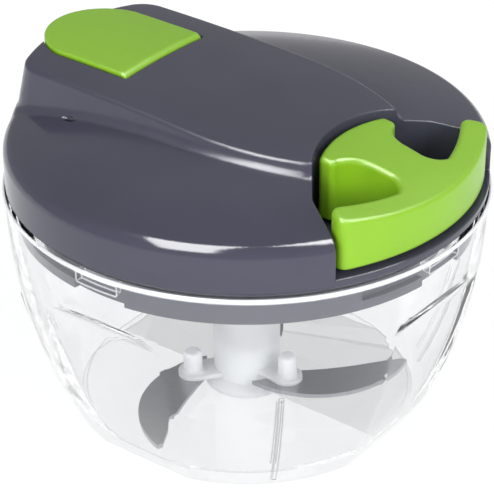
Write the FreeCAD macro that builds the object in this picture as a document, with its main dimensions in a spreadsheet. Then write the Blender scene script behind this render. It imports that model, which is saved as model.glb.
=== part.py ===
import FreeCAD, Part
import math
import os
import re
import Sketcher
from FreeCAD import Placement, Rotation, Vector

# Pull-string garlic chopper. Millimetres; Z is up, the bowl stands on z = 0 and the handle pulls along +X.
# Every number below is a driving size; the features read them through expressions on the sheet "sizes".
SIZES = (
    # name, value, meaning
    ("running_fit", 0.05, "radial gap of a turning or sliding fit"),
    ("rest_gap", 0.3, "gap between faces that never touch"),
    # bowl
    ("bowl_height", 68.4, "top of the bowl's rim"),
    ("bowl_rim_radius", 65.2, "outer radius of the wall at the rim"),
    ("bead_rise", 0.6, "how far the rim bead stands out"),
    ("bead_height", 1.4, "height of the rim bead"),
    ("foot_radius", 50.1, "outer radius where the wall leaves the rounded foot"),
    ("foot_height", 3.2, "height of the rounded foot"),
    ("foot_rounding", 2.5, "how far the foot draws in to the flat underside"),
    ("wall_arc", 136.4, "radius of the wall's curve in section"),
    ("bowl_wall", 2.2, "wall thickness"),
    ("bowl_floor", 3.0, "floor thickness"),
    ("scoop_depth", 5.3, "how deep a scoop cuts into the base"),
    ("scoop_shoulder_depth", 2.75, "how deep a scoop's shoulder lies inside the wall"),
    ("scoop_drop", 14.8, "distance of the arch from the rim"),
    ("scoop_shoulder_drop", 6.6, "distance of the shoulder from the arch"),
    ("scoop_arc", 135.0, "radius of the scoop's curve in section"),
    ("scoop_roll", 9.0, "radius that rolls the scoop out to the wall"),
    ("rib_height", 37.0, "top of the four raised ribs"),
    ("rib_width", 1.2, "width of a rib"),
    ("rib_rise", 0.6, "how far a rib stands out of the wall"),
    ("pin_radius", 3.0, "radius of the centre pin"),
    ("pin_length", 11.0, "height of the centre pin above the floor"),
    ("lug_depth", 3.2, "distance of the bayonet lugs from the rim"),
    ("lug_height", 2.7, "height of a lug"),
    ("lug_sweep", 11.8, "angle covered by one lug"),
    # lid base
    ("neck_depth", 9.1, "how deep the lid base reaches into the bowl"),
    ("neck_gap", 0.6, "gap between the neck and the bowl"),
    ("neck_wall", 3.8, "thickness of the neck with its tracks"),
    ("track_depth", 1.6, "depth of the bayonet tracks"),
    ("plate_thickness", 2.0, "thickness of the lid base's plate"),
    ("boss_inset", 6.4, "distance of the cover screws from the neck's inside"),
    ("boss_radius", 3.7, "radius of a cover boss"),
    # lid cover
    ("lid_inset", 0.8, "how far the lid's skirt lies inside the bead"),
    ("lid_wall", 2.0, "wall thickness of the lid"),
    ("skirt_gap", 1.1, "gap between the rim and the lid's skirt"),
    ("skirt_height", 11.4, "height of the skirt"),
    ("edge_rounding", 4.0, "radius of the lid's rounded upper edge"),
    ("edge_height", 1.58, "height of the wings above the skirt, one edge rounding inside the lid's edge"),
    ("dome_arc", 236.0, "radius of the dome"),
    ("ridge_height", 13.52, "height of the ridge's highest line above the wings' edge"),
    ("ridge_half_width", 27.3, "half width of the ridge along its crease"),
    ("ridge_nose_width", 19.3, "half width of the ridge where it meets the cut-away"),
    ("ridge_inset", 2.7, "distance of the ridge's outer end from the lid's edge"),
    ("ridge_spread", 2.3, "how much wider the drafted ridge is at its foot"),
    ("ridge_draft", 10.0, "draft angle of the ridge's sides"),
    ("ridge_crown_reach", 55.0, "distance of the ridge's highest point from the axis"),
    ("ridge_long_arc", 830.0, "radius of the ridge top lengthwise"),
    ("ridge_cross_arc", 243.0, "radius of the ridge top crosswise"),
    ("ridge_corner_rounding", 8.0, "radius of the ridge's two outer corners"),
    ("ridge_foot_rounding", 3.0, "radius that blends the ridge into the wings"),
    ("ridge_corner", 74.0, "radius that draws the ridge in towards the cut-away"),
    # cut-away for the handle
    ("recess_gap", 4.2, "distance of the cut-away's wall from the spool housing"),
    ("recess_arc", 34.6, "radius of the curved part of the wall"),
    ("recess_turn_y", 17.4, "end of the curved part of the wall, across the pull"),
    ("recess_bend_y", 27.0, "corner of the wall, across the pull"),
    ("recess_bend_run", 11.7, "distance of that corner from the middle of the wall, along the pull"),
    ("recess_mouth_y", 46.4, "end of the side wall, across the pull"),
    # button
    ("button_half_width", 16.4, "half width of the button"),
    ("button_start", 3.2, "distance of the button's straight edge from the spool housing"),
    ("button_end_arc", 16.6, "radius of the button's round end"),
    ("button_overhang", 3.3, "how far the button reaches over the ridge's end"),
    ("button_gap", 0.4, "shadow gap round the button"),
    ("button_rise", 0.9, "how far the button stands above the ridge"),
    ("button_skin", 1.8, "thickness of the button's top and walls"),
    ("button_pin_radius", 1.0, "radius of the button's pin"),
    ("stem_radius", 2.0, "radius of the vent plunger's stem"),
    # drive
    ("journal_radius", 7.6, "radius of the coupler where it turns in the base"),
    ("axle_radius", 2.0, "radius of the spool's axle"),
    ("cord_radius", 0.85, "radius of the pull cord"),
    ("wind_radius", 18.0, "radius of the wound cord's middle"),
    ("spool_flange", 1.3, "thickness of the spool's flanges"),
    ("flange_rise", 3.3, "how far the flanges stand out past the cord's middle"),
    ("cup_wall", 1.5, "wall of the spring cup"),
    ("cup_height", 6.6, "height of the spring cup with its floor"),
    ("spring_turns", 7.0, "turns of the recoil spring"),
    ("housing_wall", 1.3, "wall of the spool housing"),
    ("housing_gap", 0.5, "gap between the spring cup and the housing"),
    ("tooth_depth", 2.4, "depth of the ratchet teeth"),
    ("pawl_reach", 9.0, "distance of a pawl's pivot from the axis"),
    # handle
    ("handle_gap", 1.5, "gap between the handle and the wall of the cut-away"),
    ("handle_flange", 5.0, "thickness of the handle's inner flange"),
    ("handle_flange_half", 14.5, "half width of the inner flange"),
    ("handle_height", 15.8, "height of the inner flange"),
    ("handle_web_half", 7.3, "half width of the web"),
    ("handle_web_angle", 12.0, "angle at which the grip's inner face starts beside the web"),
    ("handle_pocket_arc", 5.5, "radius in the corners of the finger pockets"),
    ("grip_inset", 1.4, "distance of the grip's outside from the lid's edge"),
    ("grip_depth", 7.1, "depth of the grip"),
    ("grip_height", 10.7, "height of the grip"),
    ("grip_half_angle", 32.4, "angle from the middle of the grip to its end"),
    # blades
    ("tube_radius", 9.4, "outer radius of the blade tube"),
    ("tube_bore", 8.2, "bore of the blade tube"),
    ("blade_lift", 5.2, "height of the middle blade above the floor"),
    ("blade_step", 3.0, "height between one blade and the next"),
    ("blade_edge_arc", 27.5, "radius of a blade's sharp outer edge"),
    ("blade_back_arc", 95.0, "radius of a blade's hollow back"),
    ("blade_thickness", 1.2, "thickness of a blade"),
    ("blade_clearance", 1.0, "gap between a blade's tip and the bowl"),
    ("arm_width", 8.6, "width of the hub's three arms"),
    ("arm_thickness", 1.3, "thickness of an arm"),
    ("post_height", 6.6, "height of the post on an arm"),
    ("post_radius", 2.65, "radius of that post"),
    ("post_rounding", 1.2, "radius of the rounding round a post's top"),
    ("peg_circle", 15.8, "distance of the blade pegs from the axis"),
    ("peg_angle", -7.5, "direction of the middle blade's peg"),
)

# Heights and radii that follow from the driving sizes.
WORKED_OUT = {
    "bead_radius": "bowl_rim_radius + bead_rise",
    "scoop_base_reach": "foot_radius - scoop_depth",
    "scoop_height": "bowl_height - scoop_drop",
    "scoop_shoulder_height": "scoop_height - scoop_shoulder_drop",
    "pin_top": "bowl_floor + pin_length",
    "lug_top": "bowl_height - lug_depth",
    "lug_bottom": "lug_top - lug_height",
    "neck_bottom": "bowl_height - neck_depth",
    "plate_top": "neck_bottom + plate_thickness",
    "track_top": "lug_top + 0.8",
    "neck_inner_radius": "neck_radius - neck_wall",
    "track_radius": "neck_radius - track_depth",
    "lug_inner_radius": "track_radius + 0.4",
    "seal_radius": "neck_radius - 1.4",
    "seal_outer_radius": "bowl_rim_radius - bowl_wall - 0.1",
    "flange_radius": "bowl_rim_radius - 1",
    "neck_top": "skirt_bottom - 0.1",
    "boss_circle": "neck_inner_radius - boss_inset",
    "lid_radius": "bead_radius - lid_inset",
    "skirt_bottom": "bowl_height + skirt_gap",
    "skirt_top": "skirt_bottom + skirt_height",
    "wing_edge_radius": "lid_radius - edge_rounding",
    "wing_edge_height": "skirt_top + edge_height",
    "dome_top": "wing_edge_height + dome_arc - sqrt(dome_arc^2 - wing_edge_radius^2)",
    "ridge_crown": "wing_edge_height + ridge_height",
    "ridge_foot": "skirt_top - 0.9",
    "ridge_end_radius": "lid_radius - ridge_inset",
    "ridge_nose_reach": "recess_reach + 5.7",
    "recess_reach": "housing_radius + recess_gap",
    "recess_turn_x": "recess_reach + recess_arc - sqrt(recess_arc^2 - recess_turn_y^2)",
    "recess_bend_x": "recess_reach + recess_bend_run",
    "recess_mouth_x": "lid_radius + 5",
    "recess_floor": "skirt_bottom + lid_wall",
    "button_inner_reach": "housing_radius + button_start",
    "button_centre_reach": "ridge_end_radius + button_overhang - button_end_arc",
    "button_floor": "ridge_crown - 10",
    "button_sill": "ridge_crown - 5.8",
    "button_under": "ridge_crown + button_rise - button_skin - 0.6",
    "button_pin_reach": "button_inner_reach + 3.2",
    "button_pin_height": "ridge_crown - 4.8",
    "vent_reach": "button_centre_reach + 4",
    "housing_bottom": "plate_top + 4.7",
    "housing_top": "dome_top - 1.2",
    "housing_radius": "cup_radius + housing_gap + housing_wall",
    "post_circle": "housing_radius + 3.9",
    "flange_edge": "wind_radius + flange_rise",
    "cup_radius": "flange_edge + cup_wall",
    "cup_top": "housing_top - housing_wall - 0.7",
    "groove_top": "cup_top - cup_height",
    "spool_bottom": "plate_top + 9.6",
    "cord_height": "groove_top - 1.2",
    "ratchet_rim": "wind_radius + 1.5",
    "ratchet_outer": "ratchet_rim - 1.9",
    "ratchet_inner": "ratchet_outer - tooth_depth",
    "handle_bottom": "recess_floor + 1.5",
    "handle_flange_top": "handle_bottom + handle_height",
    "grip_top": "handle_bottom + grip_height",
    "grip_outer_radius": "lid_radius - grip_inset",
    "grip_inner_radius": "grip_outer_radius - grip_depth",
    "tube_top": "neck_bottom - 2.9",
    "blade_height": "bowl_floor + blade_lift",
}

DOC = FreeCAD.newDocument("garlic_chopper")
SHEET = DOC.addObject("Spreadsheet::Sheet", "sizes")
for row, (alias, amount, meaning) in enumerate(SIZES, start=1):
    SHEET.set("A%d" % row, alias)
    SHEET.set("B%d" % row, str(amount))
    SHEET.setAlias("B%d" % row, alias)
    SHEET.set("C%d" % row, meaning)
DOC.recompute()

NAMES = re.compile(r"\b([a-z]+(?:_[a-z]+)+)\b")
NODES = []


def spelled_out(expression):
    """The expression in driving sizes only."""
    def driving(match):
        word = match.group(1)
        return "(%s)" % spelled_out(WORKED_OUT[word]) if word in WORKED_OUT else word
    return NAMES.sub(driving, str(expression))


def number(expression):
    """Value of an expression in the sheet's sizes."""
    return float(SHEET.evalExpression(spelled_out(expression)))


def linked(expression):
    """The same expression, readable by any object of the document."""
    return NAMES.sub(r"sizes.\1", spelled_out(expression))


def arc_reach(height, start, finish, radius):
    """Distance from the axis, at a height, of an arc between two points of a section."""
    run = "((%s) - (%s))" % (finish[0], start[0])
    rise = "((%s) - (%s))" % (finish[1], start[1])
    chord = "sqrt(%s^2 + %s^2)" % (run, rise)
    arm = "sqrt((%s)^2 - (%s)^2 / 4)" % (radius, chord)
    centre_x = "(((%s) + (%s)) / 2 - %s * %s / %s)" % (start[0], finish[0], arm, rise, chord)
    centre_z = "(((%s) + (%s)) / 2 + %s * %s / %s)" % (start[1], finish[1], arm, run, chord)
    return "(%s + sqrt((%s)^2 - ((%s) - %s)^2))" % (centre_x, radius, height, centre_z)


WALL_ENDS = (("foot_radius", "foot_height"), ("bowl_rim_radius", "bowl_height"))
SCOOP_ENDS = (("scoop_base_reach", "-1"), ("scoop_shoulder_reach", "scoop_shoulder_height"))


def wall_reach(height):
    """Outer radius of the bowl's wall at a height."""
    return arc_reach(height, WALL_ENDS[0], WALL_ENDS[1], "wall_arc")


def scoop_reach(height):
    """Distance of a scoop's flat from the axis at a height."""
    return arc_reach(height, SCOOP_ENDS[0], SCOOP_ENDS[1], "scoop_arc")


WORKED_OUT["scoop_shoulder_reach"] = "%s - scoop_shoulder_depth" % wall_reach("scoop_shoulder_height")
WORKED_OUT["scoop_top_reach"] = "%s + 0.5" % wall_reach("scoop_height")
WORKED_OUT["neck_radius"] = "min(%s; bowl_rim_radius - 0.45) - bowl_wall - neck_gap" % wall_reach("neck_bottom")
WORKED_OUT["blade_reach"] = "%s - bowl_wall - blade_clearance" % scoop_reach("blade_height - blade_step")


def minus(expression):
    return "-(%s)" % expression


def around(radius, angle):
    """Coordinates, as expressions, of a point given by radius and angle in degrees."""
    return ("(%s) * cos(%s)" % (radius, angle), "(%s) * sin(%s)" % (radius, angle))


def new_body(name, listed=True):
    body = DOC.addObject("PartDesign::Body", name)
    body.Label = name
    if listed:
        NODES.append(body)
    return body


def base_plane(body, role):
    return [item for item in body.Origin.OriginFeatures if item.Role == role][0]


def new_sketch(body, name, role="XY_Plane", offset=None, turn=None):
    """Sketch on one of the body's own planes; turn swings an upright plane about the Z axis."""
    sketch = body.newObject("Sketcher::SketchObject", name)
    sketch.AttachmentSupport = [(base_plane(body, role), "")]
    sketch.MapMode = "FlatFace"
    if turn is not None:
        sketch.AttachmentOffset = Placement(Vector(0, 0, 0), Rotation(Vector(0, 1, 0), number(turn)))
        sketch.setExpression("AttachmentOffset.Rotation.Angle", linked(turn))
    if offset is not None:
        sketch.setExpression("AttachmentOffset.Base.z", linked(offset))
    return sketch


def hold_point(sketch, item, end, across, up):
    """Binds one point of a sketch to two expressions."""
    for kind, axis, expression in (("DistanceX", -2, across), ("DistanceY", -1, up)):
        if str(expression) == "0":
            sketch.addConstraint(Sketcher.Constraint("PointOnObject", item, end, axis))
        else:
            index = sketch.addConstraint(Sketcher.Constraint(kind, item, end, number(expression)))
            sketch.setExpression("Constraints[%d]" % index, linked(expression))


def draw_loop(sketch, corners):
    """Closed outline. A corner is (x, y), or (x, y, radius, side) when an arc leads to the next one.

    The side is 1 when the arc's centre lies on the left of the way, -1 when on the right.
    """
    points = [Vector(number(corner[0]), number(corner[1]), 0) for corner in corners]
    drawn = []
    for index, corner in enumerate(corners):
        start = points[index]
        finish = points[(index + 1) % len(points)]
        if len(corner) == 4:
            radius = number(corner[2])
            chord = finish - start
            rise = math.sqrt(max(radius * radius - chord.Length * chord.Length / 4.0, 0.0))
            left = Vector(-chord.y, chord.x, 0).normalize()
            centre = (start + finish) * 0.5 + left * rise * corner[3]
            first, last = (start, finish) if corner[3] > 0 else (finish, start)
            begin = math.atan2(first.y - centre.y, first.x - centre.x)
            end = math.atan2(last.y - centre.y, last.x - centre.x)
            if end < begin:
                end += 2.0 * math.pi
            item = sketch.addGeometry(Part.ArcOfCircle(Part.Circle(centre, Vector(0, 0, 1), radius), begin, end))
            drawn.append((item, 1, 2) if corner[3] > 0 else (item, 2, 1))
        else:
            item = sketch.addGeometry(Part.LineSegment(start, finish))
            drawn.append((item, 1, 2))
    for index, (item, first, last) in enumerate(drawn):
        follower = drawn[(index + 1) % len(drawn)]
        sketch.addConstraint(Sketcher.Constraint("Coincident", item, last, follower[0], follower[1]))
    for index, (item, first, last) in enumerate(drawn):
        hold_point(sketch, item, first, corners[index][0], corners[index][1])
        if len(corners[index]) == 4:
            radius = Sketcher.Constraint("Radius", item, number(corners[index][2]))
            place = sketch.addConstraint(radius)
            sketch.setExpression("Constraints[%d]" % place, linked(corners[index][2]))


def draw_circle(sketch, across, up, radius):
    centre = Vector(number(across), number(up), 0)
    item = sketch.addGeometry(Part.Circle(centre, Vector(0, 0, 1), number(radius)))
    hold_point(sketch, item, 3, across, up)
    index = sketch.addConstraint(Sketcher.Constraint("Radius", item, number(radius)))
    sketch.setExpression("Constraints[%d]" % index, linked(radius))


def draw_axis(sketch, across, up, horizontal=True):
    """Construction line through a point, used as an axis of revolution."""
    start = Vector(number(across), number(up), 0)
    step = Vector(20, 0, 0) if horizontal else Vector(0, 20, 0)
    item = sketch.addGeometry(Part.LineSegment(start, start + step), True)
    hold_point(sketch, item, 1, across, up)
    sketch.addConstraint(Sketcher.Constraint("Horizontal" if horizontal else "Vertical", item))
    sketch.addConstraint(Sketcher.Constraint("Distance", item, 20.0))


def settle(body, feature, before, sign):
    """Recomputes a feature and makes sure that it added (1), removed (-1) or kept (0) material."""
    DOC.recompute()
    if feature.State and ("Invalid" in feature.State or "Error" in feature.State):
        raise RuntimeError("%s in %s is %s" % (feature.Name, body.Label, feature.State))
    change = feature.Shape.Volume - before
    if sign * change < 0 or (sign and abs(change) < 1e-4):
        raise RuntimeError("%s in %s changed the volume by %.5f" % (feature.Name, body.Label, change))
    body.Tip = feature
    return feature


def volume_of(body):
    return body.Tip.Shape.Volume if body.Tip and not body.Tip.Shape.isNull() else 0.0


def extrude(body, name, sketch, length, cut=False, both=False, upward=None, draft=None):
    """Pad, or Pocket when cut is true; a pocket runs against the sketch's normal unless upward is true."""
    DOC.recompute()
    before = volume_of(body)
    feature = body.newObject("PartDesign::Pocket" if cut else "PartDesign::Pad", name)
    feature.Profile = sketch
    feature.setExpression("Length", linked(length))
    if both:
        feature.SideType = "Symmetric"
    if upward is not None:
        feature.Reversed = upward
    if draft is not None:
        feature.setExpression("TaperAngle", linked(draft))
    sketch.Visibility = False
    return settle(body, feature, before, -1 if cut else 1)


def spin(body, name, sketch, angle="360", cut=False, both=False, axis="V_Axis"):
    """Revolution, or Groove when cut is true, about an axis of the sketch."""
    DOC.recompute()
    before = volume_of(body)
    feature = body.newObject("PartDesign::Groove" if cut else "PartDesign::Revolution", name)
    feature.Profile = sketch
    feature.ReferenceAxis = (sketch, [axis])
    feature.setExpression("Angle", linked(angle))
    feature.Midplane = both
    sketch.Visibility = False
    return settle(body, feature, before, -1 if cut else 1)


def repeat(body, name, features, count, sign):
    """Polar pattern about Z, evenly over the full turn."""
    before = volume_of(body)
    pattern = body.newObject("PartDesign::PolarPattern", name)
    pattern.Originals = features
    pattern.Axis = (base_plane(body, "Z_Axis"), [""])
    pattern.Angle = 360.0
    pattern.Occurrences = count
    return settle(body, pattern, before, sign)


def combine(body, name, tools, kind):
    before = volume_of(body)
    feature = body.newObject("PartDesign::Boolean", name)
    feature.Type = kind
    feature.setObjects(tools)
    return settle(body, feature, before, -1 if kind != "Fuse" else 1)


def middle_of(edge):
    return edge.valueAt((edge.FirstParameter + edge.LastParameter) / 2.0)


def tilts_beside(shape, edge):
    """Vertical parts of the normals of the two faces that meet in an edge, the smaller first."""
    middle = middle_of(edge)
    tilts = []
    for face in shape.ancestorsOfType(edge, Part.Face):
        across, along = face.Surface.parameter(middle)
        tilts.append(face.normalAt(across, along).z)
    return sorted(tilts)


def is_top_rim(shape, edge):
    """An edge where an upright wall meets the top."""
    tilts = tilts_beside(shape, edge)
    return len(tilts) == 2 and abs(tilts[0]) < 0.3 and tilts[1] > 0.6


def is_upright(edge):
    box = edge.BoundBox
    return box.XLength < 0.05 and box.YLength < 0.05 and box.ZLength > 1.0


def round_edges(body, name, radius, wanted):
    """Fillet on the edges of the tip that the test picks."""
    tip = body.Tip
    shape = tip.Shape
    edges = ["Edge%d" % (i + 1) for i, edge in enumerate(shape.Edges) if wanted(shape, edge)]
    if not edges:
        raise RuntimeError("no edge for %s in %s" % (name, body.Label))
    feature = body.newObject("PartDesign::Fillet", name)
    feature.Base = (tip, edges)
    feature.setExpression("Radius", linked(radius))
    return settle(body, feature, shape.Volume, 0)


def turned(name, corners, listed=True):
    """Body made by one full turn of a section about Z."""
    body = new_body(name, listed)
    sketch = new_sketch(body, name + "_section", "XZ_Plane")
    draw_loop(sketch, corners)
    spin(body, name + "_turn", sketch)
    return body


def bore(body, name, circles, top, depth, draft=None):
    """Round pockets that start at a height and run down."""
    sketch = new_sketch(body, name + "_circles", "XY_Plane", top)
    for across, up, radius in circles:
        draw_circle(sketch, across, up, radius)
    return extrude(body, name, sketch, depth, cut=True, draft=draft)


def studs(body, name, circles, bottom, height):
    """Round pads that start at a height and run up."""
    sketch = new_sketch(body, name + "_circles", "XY_Plane", bottom)
    for across, up, radius in circles:
        draw_circle(sketch, across, up, radius)
    return extrude(body, name, sketch, height)


def near(value, target, slack=0.05):
    return abs(value - target) < slack


# Bowl
def bowl_mass(name, wall, floor, listed):
    """Solid of the bowl's outside when wall and floor are 0, of its hollow otherwise."""
    body = new_body(name, listed)
    section = new_sketch(body, name + "_section", "XZ_Plane")
    top = "bowl_height" if wall == "0" else "bowl_height + 1"
    draw_loop(section, [
        ("0", floor if floor != "0" else "0"),
        ("foot_radius - foot_rounding - (%s)" % wall, floor),
        ("foot_radius - (%s)" % wall, "foot_height + (%s)" % floor, "wall_arc - (%s)" % wall, 1),
        ("bowl_rim_radius - (%s)" % wall, "bowl_height"),
        ("bowl_rim_radius - (%s)" % wall, top),
        ("0", top),
    ] if wall != "0" else [
        ("0", "0"),
        ("foot_radius - foot_rounding", "0"),
        ("foot_radius", "foot_height", "wall_arc", 1),
        ("bowl_rim_radius", "bowl_height"),
        ("0", "bowl_height"),
    ])
    spin(body, name + "_turn", section)
    scoop = new_sketch(body, name + "_scoop", "XZ_Plane")
    draw_loop(scoop, [
        ("scoop_base_reach - (%s)" % wall, "-1", "scoop_arc - (%s)" % wall, 1),
        ("scoop_shoulder_reach - (%s)" % wall, "scoop_shoulder_height", "scoop_roll + (%s)" % wall, -1),
        ("scoop_top_reach - (%s)" % wall, "scoop_height"),
        ("bowl_rim_radius + 10", "scoop_height"),
        ("bowl_rim_radius + 10", "-1"),
    ])
    cut = extrude(body, name + "_scoop_cut", scoop, "bowl_rim_radius * 2", cut=True, both=True)
    repeat(body, name + "_scoops", [cut], 4, -1)
    return body


hollow = bowl_mass("bowl_hollow", "bowl_wall", "bowl_floor", False)
bowl = bowl_mass("bowl", "0", "0", True)
combine(bowl, "bowl_hollow_cut", [hollow], "Cut")

bead = new_sketch(bowl, "rim_bead", "XZ_Plane")
draw_loop(bead, [
    ("bowl_rim_radius - bowl_wall", "bowl_height - bead_height"),
    ("bowl_rim_radius - 0.05", "bowl_height - bead_height"),
    ("bead_radius", "bowl_height - bead_height + 0.5"),
    ("bead_radius", "bowl_height - 0.3"),
    ("bead_radius - 0.3", "bowl_height"),
    ("bowl_rim_radius - bowl_wall", "bowl_height"),
])
spin(bowl, "rim_bead_turn", bead)

lug = new_sketch(bowl, "lug", "XZ_Plane")
draw_loop(lug, [
    ("lug_inner_radius", "lug_bottom"),
    ("bowl_rim_radius - bowl_wall + 0.6", "lug_bottom"),
    ("bowl_rim_radius - bowl_wall + 0.6", "lug_top"),
    ("lug_inner_radius", "lug_top"),
])
lug_pad = spin(bowl, "lug_pad", lug, "lug_sweep", both=True)
repeat(bowl, "lugs", [lug_pad], 4, 1)

rib = new_sketch(bowl, "rib", "XZ_Plane", turn="45")
draw_loop(rib, [
    ("foot_radius + rib_rise", "foot_height", "wall_arc + rib_rise", 1),
    ("%s + rib_rise" % wall_reach("rib_height - 1"), "rib_height - 1"),
    ("%s + 0.1" % wall_reach("rib_height"), "rib_height"),
    ("%s - 0.8" % wall_reach("rib_height"), "rib_height", "wall_arc - 0.8", -1),
    ("foot_radius - 0.8", "foot_height"),
])
rib_pad = extrude(bowl, "rib_pad", rib, "rib_width", both=True)
repeat(bowl, "ribs", [rib_pad], 4, 1)

pin = new_sketch(bowl, "centre_pin", "XZ_Plane")
draw_loop(pin, [
    ("0", "bowl_floor - 1"),
    ("pin_radius + 2", "bowl_floor - 1"),
    ("pin_radius + 2", "bowl_floor + 0.2"),
    ("pin_radius", "bowl_floor + 0.2"),
    ("pin_radius", "pin_top - 1", "1", 1),
    ("pin_radius - 1", "pin_top"),
    ("0", "pin_top"),
])
spin(bowl, "centre_pin_turn", pin)


# Lid cover
def recess_outline(sketch, grow):
    """Plan of the cut-away, grown outwards by the wall it keeps."""
    x_a, y_a = "recess_turn_x - 0.84 * (%s)" % grow, "recess_turn_y + 0.54 * (%s)" % grow
    x_b, y_b = "recess_bend_x - 0.69 * (%s)" % grow, "recess_bend_y + 0.74 * (%s)" % grow
    x_c, y_c = "recess_mouth_x - 0.55 * (%s)" % grow, "recess_mouth_y + 0.84 * (%s)" % grow
    draw_loop(sketch, [
        (x_a, y_a, "recess_arc + (%s)" % grow, 1),
        (x_a, minus(y_a)),
        (x_b, minus(y_b)),
        (x_c, minus(y_c)),
        ("recess_mouth_x + 12", minus(y_c)),
        ("recess_mouth_x + 12", y_c),
        (x_c, y_c),
        (x_b, y_b),
    ])


def tombstone(sketch, grow, inner="button_inner_reach", reach="button_centre_reach"):
    """Plan of the button, grown outwards."""
    half = "button_half_width + (%s)" % grow
    arc = "button_end_arc + (%s)" % grow
    bend = "-(%s) - sqrt((%s)^2 - (%s)^2)" % (reach, arc, half)
    draw_loop(sketch, [
        ("-(%s) + (%s)" % (inner, grow), half),
        (bend, half, arc, 1),
        ("-(%s) - (%s)" % (reach, arc), "0", arc, 1),
        (bend, minus(half)),
        ("-(%s) + (%s)" % (inner, grow), minus(half)),
    ])


def crown_cut(body, name, lower):
    """Takes away everything above the doubly curved ridge top, lowered by an amount."""
    sketch = new_sketch(body, name + "_section", "YZ_Plane", "-ridge_crown_reach")
    reach = "44"
    edge = "ridge_crown - (%s) - ridge_cross_arc + sqrt(ridge_cross_arc^2 - %s^2)" % (lower, reach)
    draw_loop(sketch, [
        (reach, edge, "ridge_cross_arc", 1),
        ("-" + reach, edge),
        ("-" + reach, "ridge_crown + 40"),
        (reach, "ridge_crown + 40"),
    ])
    draw_axis(sketch, "-10", "ridge_crown - ridge_long_arc")
    return spin(body, name, sketch, "15", cut=True, both=True, axis="Axis0")


def lid_mass(name, wall, listed):
    """Dome and ridge as one solid: the outside for a wall of 0, drawn too wide for its foot blend, or the hollow."""
    body = new_body(name, listed)
    grow = "(%s)" % wall
    bottom = "skirt_bottom" if wall == "0" else "skirt_bottom - 1"
    section = new_sketch(body, name + "_section", "XZ_Plane")
    if wall == "0":
        draw_loop(section, [
            ("0", bottom),
            ("lid_radius + 12", bottom),
            ("lid_radius + 12", "dome_top - dome_arc + sqrt(dome_arc^2 - (lid_radius + 12)^2)", "dome_arc", 1),
            ("0", "dome_top"),
        ])
    else:
        edge = "dome_top - dome_arc + sqrt((dome_arc - %s)^2 - (lid_radius - %s)^2)" % (wall, wall)
        draw_loop(section, [
            ("0", bottom),
            ("lid_radius - " + wall, bottom),
            ("lid_radius - " + wall, edge, "dome_arc - " + wall, 1),
            ("0", "dome_top - " + wall),
        ])
    spin(body, name + "_turn", section)
    plan = new_sketch(body, name + "_ridge_plan", "XY_Plane", "ridge_foot")
    half = "ridge_half_width + ridge_spread - %s" % grow
    nose = "ridge_nose_width + ridge_spread - %s" % grow
    radius = "ridge_end_radius + ridge_spread - %s" % grow
    corner = "-sqrt((%s)^2 - (%s)^2)" % (radius, half)
    draw_loop(plan, [
        (corner, minus(half)),
        ("0", minus(half), "ridge_corner", 1),
        ("ridge_nose_reach", minus(nose)),
        ("ridge_nose_reach + 8", minus("ridge_nose_width - 4")),
        ("ridge_nose_reach + 8", "ridge_nose_width - 4"),
        ("ridge_nose_reach", nose, "ridge_corner", 1),
        ("0", half),
        (corner, half, radius, 1),
    ])
    extrude(body, name + "_ridge", plan, "ridge_crown - ridge_foot + 6", draft="-ridge_draft")
    crown_cut(body, name + "_crown", wall)
    return body


core = lid_mass("cover_core", "lid_wall", False)
core_recess = new_sketch(core, "core_recess_plan", "XY_Plane", "ridge_crown + 20")
recess_outline(core_recess, "lid_wall")
extrude(core, "core_recess", core_recess, "ridge_crown", cut=True)
core_well = new_sketch(core, "core_well_plan", "XY_Plane", "button_floor - lid_wall")
tombstone(core_well, "button_gap + lid_wall")
extrude(core, "core_well", core_well, "40", cut=True, upward=True)

cover = lid_mass("lid_cover", "0", True)


def above_dome(edge):
    """Height of an edge's middle above the dome."""
    middle = middle_of(edge)
    arc = number("dome_arc")
    return middle.z - number("dome_top") + arc - math.sqrt(arc ** 2 - middle.x ** 2 - middle.y ** 2)


def is_ridge_corner(shape, edge):
    """Upright edge at either outer corner of the ridge."""
    box = edge.BoundBox
    return box.ZLength > 8 and box.XLength < 6 and box.YLength < 6 and middle_of(edge).x < -number("ridge_half_width")


def is_ridge_foot(shape, edge):
    """Edge where the ridge's sides and outer end meet the dome."""
    tilts = tilts_beside(shape, edge)
    inside = math.hypot(middle_of(edge).x, middle_of(edge).y) < number("lid_radius + 6")
    return inside and len(tilts) == 2 and abs(above_dome(edge)) < 0.05 and abs(tilts[0]) < 0.4


def is_ridge_crease(shape, edge):
    """Crease round the top of the ridge, along its sides and its outer end."""
    tilts = tilts_beside(shape, edge)
    return len(tilts) == 2 and abs(tilts[0]) < 0.4 and tilts[1] > 0.9 and above_dome(edge) > 2.0


def is_lid_edge(shape, edge):
    """Upper edge of the lid's skirt."""
    middle = middle_of(edge)
    return near(math.hypot(middle.x, middle.y), number("lid_radius"), 0.05) and middle.z > number("skirt_top") - 1 \
        and edge.BoundBox.ZLength < 6


round_edges(cover, "ridge_corners", "ridge_corner_rounding", is_ridge_corner)
round_edges(cover, "ridge_foot_blend", "ridge_foot_rounding", is_ridge_foot)
round_edges(cover, "ridge_crease", "1.2", is_ridge_crease)
trim = new_sketch(cover, "skirt_trim", "XZ_Plane")
draw_loop(trim, [
    ("lid_radius", "skirt_bottom - 1"),
    ("lid_radius + 20", "skirt_bottom - 1"),
    ("lid_radius + 20", "ridge_crown + 5"),
    ("lid_radius", "ridge_crown + 5"),
])
spin(cover, "skirt_trim_cut", trim, cut=True)
round_edges(cover, "lid_edge", "edge_rounding", is_lid_edge)

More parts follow.
